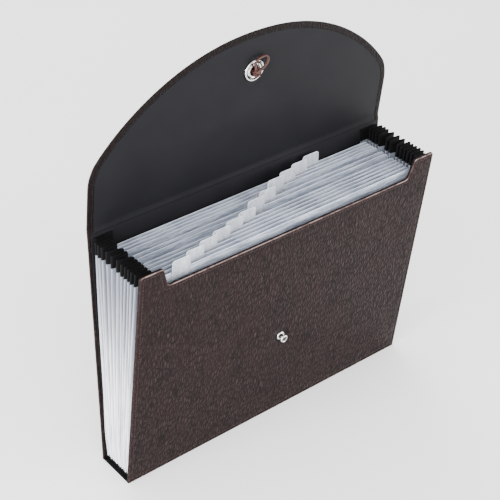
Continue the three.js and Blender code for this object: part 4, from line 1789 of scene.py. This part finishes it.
# Pockets
@dataclass
class Pleats:
    """One side's gusset: a pleated film with a binding tape along its top, pocket by pocket.

    The flat and the crown are each a size at the foot and what it gains up to the top. The sway turns with
    the height in metres and with the pocket's number.
    """

    side: Side
    finishes: Finishes
    fold_in: float = 149.7 * MM
    fold_out: float = 163.1 * MM
    film_foot: float = 5.2 * MM
    film_top: float = 223.8 * MM
    tape_foot: float = 223.9 * MM
    tape_top: float = 236.4 * MM
    flange: float = 8 * MM
    film_thick: float = 0.3 * MM
    tape_thick: float = 0.85 * MM
    film_rows: int = 26
    tape_rows: int = 5
    gap: float = 0.3 * MM
    cover_step: float = 3 * MM
    flat: Flat = (0.5 * MM, 0.32 * MM)
    crown: Flat = (0.35 * MM, 0.325 * MM)
    tip_round: float = 0.28 * MM
    sway: float = 0.3 * MM
    sway_turn: Flat = (31.0, 2.4)
    foot_in: float = 2.0 * MM
    foot_tall: float = 34 * MM
    smooth_deg: float = 60.0

    def _section(self, pocket: int, z: float, clearance: float) -> list[Flat]:
        """One pocket's fold at a height.

        Args:
            pocket: The pocket's number, from the back.
            z: The height.
            clearance: How far the fold stays off a cover.

        Returns:
            The fold from the panel behind it to the panel in front, as x and y.
        """
        rise = (z - self.film_foot) / (self.tape_top - self.film_foot)
        flat, crown = (start + gain * rise for start, gain in (self.flat, self.crown))
        wave = math.sin(z * self.sway_turn[0] + pocket * self.sway_turn[1]) * self.sway
        out = self.fold_out + wave - self.foot_in * (1 - smoothstep(z / self.foot_tall))
        if pocket in (1, LAYOUT.pockets):
            out -= self.cover_step * rise
        ends = ((pocket - 1, -1), (pocket, 1))
        offs = [sign * (clearance if LAYOUT.is_cover(i) else flat) for i, sign in ends]
        feet = [LAYOUT.y_at(i, z) + off for (i, _), off in zip(ends, offs)]
        mid = sum(feet) / 2
        halves = []
        for (i, sign), foot in zip(ends, feet):
            if LAYOUT.is_cover(i):
                start = [(self.fold_in - self.flange * k, foot) for k in (1, 0.5)]
            else:
                start = [(self.fold_in, foot - sign * flat * k) for k in (1, 0.5)]
            wide, deep = out - self.fold_in, mid - sign * crown - foot
            lean = [(self.fold_in + wide * k, foot + deep * k) for k in (0, 0.12, 0.5, 0.88)]
            tip = [(out - self.tip_round, mid - sign * crown * 0.9), (out, mid - sign * crown * 0.35)]
            halves.append([*start, *lean, *tip])
        return [*halves[0], *reversed(halves[1])]

    def build(self) -> list[Piece]:
        """Builds the film and the tape of every pocket.

        Returns:
            The pieces.
        """
        looks = self.finishes
        layers = (
            ("film", (self.film_foot, self.film_top), self.film_rows, self.film_thick, looks.film),
            ("tape", (self.tape_foot, self.tape_top), self.tape_rows, self.tape_thick, looks.tape),
        )
        pockets = range(1, LAYOUT.pockets + 1)
        return [self._fold(pocket, *layer) for layer in layers for pocket in pockets]

    def _fold(self, pocket: int, layer: str, span: Flat, rows: int, thick: float, look: Look) -> Piece:
        """Builds one pocket's film or tape.

        Args:
            pocket: The pocket's number, from the back.
            layer: The CAD layer that it stands for.
            span: Its lowest and highest point.
            rows: Faces up its height.
            thick: Its thickness.
            look: Its material and slot.

        Returns:
            The piece, which follows the panels on both of its sides.
        """
        word, sign = self.side.name.lower(), self.side.value
        heights = [span[0] + (span[1] - span[0]) * k / rows for k in range(rows + 1)]
        sections = [self._section(pocket, z, thick / 2 + self.gap) for z in heights]

        def place(column: int, row: int) -> Solid:
            """A point of the fold."""
            x, y = sections[row][column]
            return sign * x, y, heights[row]

        piece = Bench.grid(f"gusset_{layer}_{word}_{pocket:02d}", len(sections[0]) - 1, rows, place)
        Bench.modify(piece, "SOLIDIFY", thickness=thick, offset=0, use_even_offset=True)
        Bench.dress(Bench.face_out(piece), look, self.smooth_deg)
        self._follow(piece, pocket)
        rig.replaces(piece, f"gusset_{layer}_{word}")
        return piece

    def _follow(self, piece: Piece, pocket: int) -> None:
        """Lets a fold follow the panels on both of its sides.

        The blend goes from the fixed bottom to the panel that turns further. It starts so far off that
        the other panel's edge gets the share of that turn that its own panel makes.

        Args:
            piece: One pocket's film or tape.
            pocket: The pocket's number, from the back.
        """
        far, near = (pocket, pocket - 1) if pocket > LAYOUT.upright else (pocket - 1, pocket)
        share = LAYOUT.ratio(near) / LAYOUT.ratio(far)
        normal = Panel(0, 0, (LAYOUT.lean(far) + LAYOUT.lean(near)) / 2).front
        end, other = (Vector((0, LAYOUT.y_at(i, self.tape_top), self.tape_top)) for i in (far, near))
        apart = normal * (end - other).dot(normal)
        start = end - apart / (1 - smoothstep_inverse(share))
        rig.blend(piece, "base", LAYOUT.body(far), start, end)


@dataclass
class Dividers:
    """The frosted dividers with their clear index tabs."""

    finishes: Finishes
    half: float = 148.8 * MM
    tall: float = 220.5 * MM
    thick: float = 0.4 * MM
    corner: float = 7 * MM
    edge: float = 0.1 * MM
    face_in: float = 1.2 * MM
    rim: float = 1.0 * MM
    tab_width: float = 19 * MM
    tab_tall: float = 20 * MM
    tab_corner: float = 2.5 * MM
    tab_pitch: float = 17.5 * MM
    tab_first_x: float = -118 * MM
    tab_above: float = 11.5 * MM
    tab_gap: float = 0.3 * MM
    tab_round: float = 0.15 * MM
    tab_rim: float = 1.2 * MM
    tab_window: tuple[Flat, ...] = ((1.1 * MM, 0.0), (0.15 * MM, -0.16 * MM))

    def build(self) -> list[Piece]:
        """Models one sheet and one tab, and copies them to every divider.

        Returns:
            The pieces.
        """
        sheet, tab = self._sheet(), self._tab()
        made = []
        for i in range(1, LAYOUT.pockets):
            frame = Panel(LAYOUT.foot_y(i), LAYOUT.divider_foot_z, LAYOUT.lean(i)).matrix()
            x = self.tab_first_x + (LAYOUT.pockets - 1 - i) * self.tab_pitch
            copy = Bench.settle(Bench.copy(sheet, f"frosted_divider_{i:02d}"), frame)
            made.append(Bench.fit(copy, self.finishes.divider, LAYOUT.body(i), f"divider_{i:02d}"))
            copy = Bench.settle(Bench.copy(tab, f"clear_tab_{i:02d}"), frame @ Matrix.Translation((x, 0, 0)))
            made.append(Bench.fit(copy, self.finishes.tab, LAYOUT.body(i), f"tab_{i:02d}"))
        Bench.drop(sheet, tab)
        return made

    def _sheet(self) -> Piece:
        """Models a sheet with softened edges.

        Returns:
            The pattern, in a divider's frame.
        """
        t = self.thick / 2
        face = [(self.face_in, t), (self.edge, t), (0, t * 0.5)]
        rows = [*((inset, -n) for inset, n in face), *reversed(face)]

        def outline(inset: float) -> list[Flat]:
            """The sheet's outline, moved in by an inset."""
            return rectangle(self.half, 0, self.tall, self.corner, inset)

        sheet = Bench.loft("divider_pattern", outline, rows)
        mark_rim(sheet, outline(0), self.rim)
        return sheet

    def _tab(self) -> Piece:
        """Models a tab with a sunk window.

        Returns:
            The pattern, in a divider's frame at the middle of the width.
        """
        low = self.thick / 2 + self.tab_gap
        high = low + self.thick
        top = self.tall + self.tab_above
        shape = rectangle(self.tab_width / 2, top - self.tab_tall, top, self.tab_corner)
        tab = Bench.plate("tab_pattern", shape, low, high, self.tab_round)
        Bench.sink(tab, high, self.tab_window)
        mark_rim(tab, shape, self.tab_rim)
        return tab


# Closure
class Fitting(NamedTuple):
    """A turned fitting: its piece, its CAD node and its closed section in mm, as radius and height."""

    piece: str
    node: str
    section: tuple[Flat, ...]


EYELET_ROLL = Fitting(
    "eyelet_roll",
    "eyelet_ring",
    (
        (10.2, 1.3), (10.2, 2.0), (9.9, 2.55), (9.3, 2.8), (8.6, 2.6), (8.2, 2.0), (7.8, 2.0), (7.2, 2.6),
        (6.3, 3.1), (5.5, 2.9), (4.8, 2.2), (4.4, 1.1), (4.4, -2.8), (5.1, -2.8), (5.1, 1.3),
    ),
)
EYELET_BACK = Fitting(
    "eyelet_back",
    "eyelet_washer",
    ((5.4, -1.3), (5.4, -2.5), (7.6, -2.4), (8.8, -2.2), (9.6, -1.8), (9.8, -1.3)),
)
STUD_FOOT = Fitting(
    "stud_foot",
    "stud_base",
    ((2.4, 1.7), (4.3, 1.7), (4.3, 2.3), (4.0, 2.8), (3.3, 3.1), (2.4, 3.2)),
)
STUD_WAIST = Fitting(
    "stud_waist",
    "stud_neck",
    (
        (0.0, -2.9), (2.1, -2.9), (2.1, 3.3), (1.722, 4.1),
        (1.722, 5.1), (2.1, 5.9), (2.1, 6.4), (0.0, 6.4),
    ),
)
STUD_DOME = Fitting(
    "stud_dome",
    "stud_cap",
    (
        (0.0, 6.3), (3.65, 6.3), (4.0, 6.6), (4.0, 7.2), (3.6, 7.9),
        (3.0, 8.2), (2.5, 7.9), (2.1, 7.1), (0.0, 6.9),
    ),
)
STUD_BACK = Fitting(
    "stud_back",
    "stud_washer",
    ((2.4, -1.9), (2.4, -2.7), (4.6, -2.7), (5.0, -2.4), (5.0, -1.9)),
)


@dataclass
class Closure:
    """The eyelet in the tongue, the elastic cord through it, and the stud on the front cover.

    A groove, which gets painted shade and dark reflection, is a radius and half a width. The knot's height is that of
    its middle over the flap's middle, and the reach is how far the loop hangs below the eyelet.
    """

    finishes: Finishes
    eyelet_s: float = 102 * MM
    eyelet: tuple[Fitting, ...] = (EYELET_ROLL, EYELET_BACK)
    eyelet_grooves: tuple[Flat, ...] = ((8.0 * MM, 0.95 * MM), (4.4 * MM, 0.6 * MM))
    eyelet_steps: int = 64
    stud: tuple[Fitting, ...] = (STUD_FOOT, STUD_WAIST, STUD_DOME, STUD_BACK)
    stud_grooves: tuple[Flat, ...] = ((2.1 * MM, 0.55 * MM), (0.0, 1.0 * MM))
    stud_steps: int = 48
    metal_smooth_deg: float = 40.0
    cord_radius: float = 1.2 * MM
    cord_smooth_deg: float = 60.0
    loop_step: float = 1.6 * MM
    knot_step: float = 0.9 * MM
    knot_mm: float = 5.7
    reach_mm: float = 94.0

    def build_eyelet(self) -> list[Piece]:
        """Builds the rolled ring with its barrel, and the washer on the outer face."""
        place = self.eyelet_s, LAYOUT.flap_panel, "tongue"
        return [self._turn(part, self.eyelet_grooves, self.eyelet_steps, *place) for part in self.eyelet]

    def build_stud(self) -> list[Piece]:
        """Builds the stud's foot, neck, cap and inner washer."""
        place = LAYOUT.stud_s, LAYOUT.front_panel, "front"
        return [self._turn(part, self.stud_grooves, self.stud_steps, *place) for part in self.stud]

    def _turn(
        self, part: Fitting, grooves: Sequence[Flat], steps: int, s: float, panel: Panel, body: str
    ) -> Piece:
        """Turns a fitting and puts it on its body, in place of its CAD node.

        Args:
            part: The fitting.
            grooves: Radius and half the width of each groove with painted shade and dark reflection.
            steps: Faces round the axis.
            s: Place of the axis along the panel.
            panel: The panel's frame.
            body: The body that it rides on.

        Returns:
            The piece.
        """
        piece = Bench.spun(part.piece, [(r * MM, n * MM) for r, n in part.section], s, steps)
        mark_grooves(piece, s, grooves)
        Bench.settle(piece, panel.matrix())
        return Bench.fit(piece, self.finishes.chrome, body, part.node, smooth_deg=self.metal_smooth_deg)

    def _line(self, points: Sequence[Solid], step: float, lift: float = 0.0) -> list[Vector]:
        """A smooth line through points about the eyelet.

        Args:
            points: The points in mm, in the flap's frame.
            step: Rough distance between the points of the line.
            lift: A height in mm that every point gets.

        Returns:
            The line in the shared frame.
        """
        panel = LAYOUT.flap_panel
        knots = [panel.point(x * MM, self.eyelet_s + s * MM, (n + lift) * MM) for x, s, n in points]
        knots = [knots[0] * 2 - knots[1], *knots, knots[-1] * 2 - knots[-2]]
        out = []
        for p0, p1, p2, p3 in zip(knots, knots[1:], knots[2:], knots[3:]):
            d01, d12, d23 = (math.sqrt((b - a).length) for a, b in ((p0, p1), (p1, p2), (p2, p3)))
            m1 = (p2 - p1) + d12 * ((p1 - p0) / d01 - (p2 - p0) / (d01 + d12))
            m2 = (p2 - p1) + d12 * ((p3 - p2) / d23 - (p3 - p1) / (d12 + d23))
            parts = max(2, round((p2 - p1).length / step))
            for k in range(parts):
                t = k / parts
                h = (2 * t**3 - 3 * t * t + 1, t**3 - 2 * t * t + t, 3 * t * t - 2 * t**3, t**3 - t * t)
                out.append(h[0] * p1 + h[1] * m1 + h[2] * p2 + h[3] * m2)
        return [*out, knots[-2]]

    def build_cord(self) -> list[Piece]:
        """Builds the elastic loop behind the flap and the knot in front of the eyelet.

        Returns:
            The loop and the knot.
        """
        top, reach = self.knot_mm, self.reach_mm
        right = [
            (1.7, 0, top - 2.85), (1.8, 0, -0.6), (2.0, -1.2, -3.8), (2.4, -5.4, -6.2), (3.0, -12, -6.6),
            (4.2, -26, -4.9), (5.6, -46, -3.5), (6.7, -66, -2.9),
            (7.0, 12 - reach, -2.8), (6.1, 4.6 - reach, -2.8),
        ]
        left = [(-x, s, n) for x, s, n in right]
        route = self._line([*left, (0, -reach, -2.8), *reversed(right)], self.loop_step)
        loop = Bench.tube("elastic_cord", route, self.cord_radius)
        strands = [
            [(-3.7, -1.9, -0.7), (0.2, -3.3, 0.4), (3.9, -1.4, -0.5), (3.4, 1.9, -1.0), (0.2, 3.4, 0)],
            [(-3.3, 2.2, -0.3), (-0.4, 0.6, 1.5), (2.6, -1.6, 1.2), (3.9, -2.4, -0.6)],
            [(-2.9, -2.6, -0.9), (-1.6, 0.2, 1.0), (1.2, 2.2, 1.4), (3.2, 2.6, -0.2)],
            [(-3.4, -0.4, -1.4), (0, 0.2, -0.4), (3.4, 0.4, -1.4)],
            [
                (-0.6, 0.8, -0.4), (-2.2, 4.6, 0.3), (-3.0, 8.8, 0.3), (-0.8, 12.4, 0), (4.0, 13.8, -0.4),
                (9.0, 13.2, -0.8), (11.6, 10.0, -0.6), (9.8, 6.0, 0), (5.8, 2.8, 0.4), (1.4, 0.4, 0),
            ],
        ]
        lines = [self._line(points, self.knot_step, top) for points in strands]
        parts = [Bench.tube(f"knot_part_{k}", line, self.cord_radius) for k, line in enumerate(lines)]
        knot = Bench.join(parts, "cord_knot")
        for piece, node in ((loop, "elastic_loop"), (knot, "loop_knot")):
            Bench.fit(piece, self.finishes.cord, "cord", node, smooth_deg=self.cord_smooth_deg)
        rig.cord(
            loop,
            exit=route[0],
            length=sum((b - a).length for a, b in zip(route, route[1:])),
            diameter=2 * self.cord_radius,
            far_end="knot",
            stiffness="limp",
            lay="hanging",
            path=route,
            with_pieces=[knot],
        )
        return [loop, knot]


# Bottom and boards
@dataclass
class Bottom:
    """The wrapped bottom under the pockets, and the boards inside the covers."""

    finishes: Finishes
    edge: float = 0.4 * MM
    edge_share: float = 0.4
    face_in: float = 2 * MM
    wrap_in: float = 0.3 * MM
    wrap_thick: float = 0.22 * MM

    def build(self, nodes: dict[str, Piece]) -> list[Piece]:
        """Builds the strip, the wrapped board and the pocket floor on their nodes' boxes.

        Args:
            nodes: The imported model's nodes by name.

        Returns:
            The new pieces and the two boards that stay.
        """
        looks = self.finishes
        layers = (
            ("bottom_strip", "base_strip", looks.tape),
            ("wrapped_board", "base_board", looks.tape),
            ("frosted_floor", "pocket_floor", looks.divider),
        )
        made = [self._slab("bottom_wrap", self._wrap_box(), looks.tape)]
        made += [self._slab(name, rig.box(node), look, node) for name, node, look in layers]
        for name in ("front_board", "back_board"):
            nodes[name].data.materials.clear()
            nodes[name].data.materials.append(looks.board)
            made.append(nodes[name])
        return made

    def _wrap_box(self) -> tuple[Vector, Vector]:
        """The thin cloth under the bottom, which runs out to both covers."""
        x, y = LAYOUT.half - self.wrap_in, LAYOUT.bottom_depth / 2 - self.wrap_in
        return Vector((-x, -y, 0)), Vector((x, y, self.wrap_thick))

    def _slab(self, name: str, box: tuple[Vector, Vector], look: Look, *nodes: str) -> Piece:
        """A flat piece with rounded edges that fills a box and rides on the bottom.

        Args:
            name: The piece's name.
            box: Its lowest and highest corners.
            look: Its material and slot.
            nodes: The CAD nodes that it stands for.

        Returns:
            The finished piece.
        """
        low, high = box
        r = min(self.edge, (high.z - low.z) * self.edge_share)
        rows = [(self.face_in, low.z), *edge_rows(low.z, high.z, r, r, 3), (self.face_in, high.z)]

        def outline(inset: float) -> list[Flat]:
            """The box from above, moved in by an inset."""
            x, y0, y1 = high.x - inset, low.y + inset, high.y - inset
            return [(-x, y0), (x, y0), (x, y1), (-x, y1)]

        return Bench.fit(Bench.loft(name, outline, rows), look, "base", *nodes)


# Camera and light
class Lamp(NamedTuple):
    """A soft square lamp: its name, place, size and power."""

    name: str
    where: Solid
    size: float
    watts: float


@dataclass
class Studio:
    """Camera, floor and soft light."""

    finishes: Finishes
    azimuth_deg: float = -41.41
    elevation_deg: float = 35.46
    roll_deg: float = 3.19
    distance: float = 1.2435
    focal_px: float = 1408.0
    frame_px: float = 500.0
    sensor: float = 36.0
    clip: Flat = (0.05, 60.0)
    target: Solid = (-0.0180, -0.0002, 0.1838)
    floor_size: float = 12.0
    air_strength: float = 1.8
    lamps: tuple[Lamp, ...] = (
        Lamp("soft_key", (-1.3, -1.5, 1.5), 1.5, 38),
        Lamp("soft_fill", (1.2, -1.5, 0.3), 1.2, 48),
        Lamp("soft_rim", (0.6, 1.7, 1.5), 1.2, 26),
        Lamp("soft_side", (-2.0, -0.2, 0.5), 1.2, 110),
    )

    def build(self) -> None:
        """Sets the camera, the floor and the lights."""
        self._camera()
        Bench.clear()
        bpy.ops.mesh.primitive_plane_add(size=self.floor_size)
        floor = Bench.named("studio_floor")
        floor.data.materials.append(self.finishes.floor)
        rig.stage(floor)
        self._world()
        for lamp in self.lamps:
            self._light(lamp)

    def _camera(self) -> None:
        """Puts the camera at the fitted view, with its roll."""
        a, e, r = (math.radians(v) for v in (self.azimuth_deg, self.elevation_deg, self.roll_deg))
        away = Vector((math.sin(a) * math.cos(e), -math.cos(a) * math.cos(e), math.sin(e)))
        right = Vector((math.cos(a), math.sin(a), 0))
        up = away.cross(right)
        across, upward = math.cos(r) * right + math.sin(r) * up, math.cos(r) * up - math.sin(r) * right
        Bench.clear()
        bpy.ops.object.camera_add()
        camera = bpy.context.object
        camera.data.sensor_width = self.sensor
        camera.data.lens = self.focal_px / self.frame_px * self.sensor
        camera.data.clip_start, camera.data.clip_end = self.clip
        turn = Matrix((across, upward, away)).transposed().to_4x4()
        camera.matrix_world = Matrix.Translation(Vector(self.target) + away * self.distance) @ turn
        bpy.context.scene.camera = camera

    def _world(self) -> None:
        """Gives even pale light from all round."""
        world = bpy.data.worlds.new("studio_air")
        world.use_nodes = True
        background = world.node_tree.nodes["Background"]
        background.inputs["Color"].default_value = (1, 1, 1, 1)
        background.inputs["Strength"].default_value = self.air_strength
        bpy.context.scene.world = world

    def _light(self, lamp: Lamp) -> None:
        """Adds a lamp that faces the object.

        Args:
            lamp: The lamp.
        """
        Bench.clear()
        bpy.ops.object.light_add(type="AREA", location=lamp.where)
        light = bpy.context.object
        light.name = lamp.name
        light.data.size = lamp.size
        light.data.energy = lamp.watts
        aim = Vector(self.target) - Vector(lamp.where)
        light.rotation_euler = aim.to_track_quat("-Z", "Y").to_euler()


def numbers(box: tuple[Vector, Vector]) -> list[list[float]]:
    """A box as plain lists."""
    return [list(box[0]), list(box[1])]


def main() -> None:
    """Builds the camera, the cord and then every other sub-assembly, and writes both boxes."""
    logging.basicConfig(level=logging.INFO, format="%(name)s: %(message)s")
    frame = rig.load()
    cad_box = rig.bounds()
    finishes = Finishes()
    Studio(finishes).build()
    closure = Closure(finishes)
    outlines = CoverOutlines()
    made = closure.build_cord()
    made += Cover("front", LAYOUT.front_panel, 1, outlines.front, finishes).build()
    made += Cover("back", LAYOUT.back_panel, -1, outlines.back, finishes, open_top=True).build()
    made += Flap(finishes).build()
    for side in Side:
        made += Pleats(side, finishes).build()
    made += Dividers(finishes).build()
    made += closure.build_eyelet()
    made += closure.build_stud()
    made += Bottom(finishes).build(frame["nodes"])
    for piece in made:
        LOG.info("%s: %d faces", piece.name, len(piece.data.polygons))
    Bench.clear()
    with open(SIZE_FILE, "w", encoding="utf-8") as file:
        json.dump({"cad": numbers(cad_box), "visual": numbers(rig.bounds())}, file)


if __name__ == "__main__":
    main()
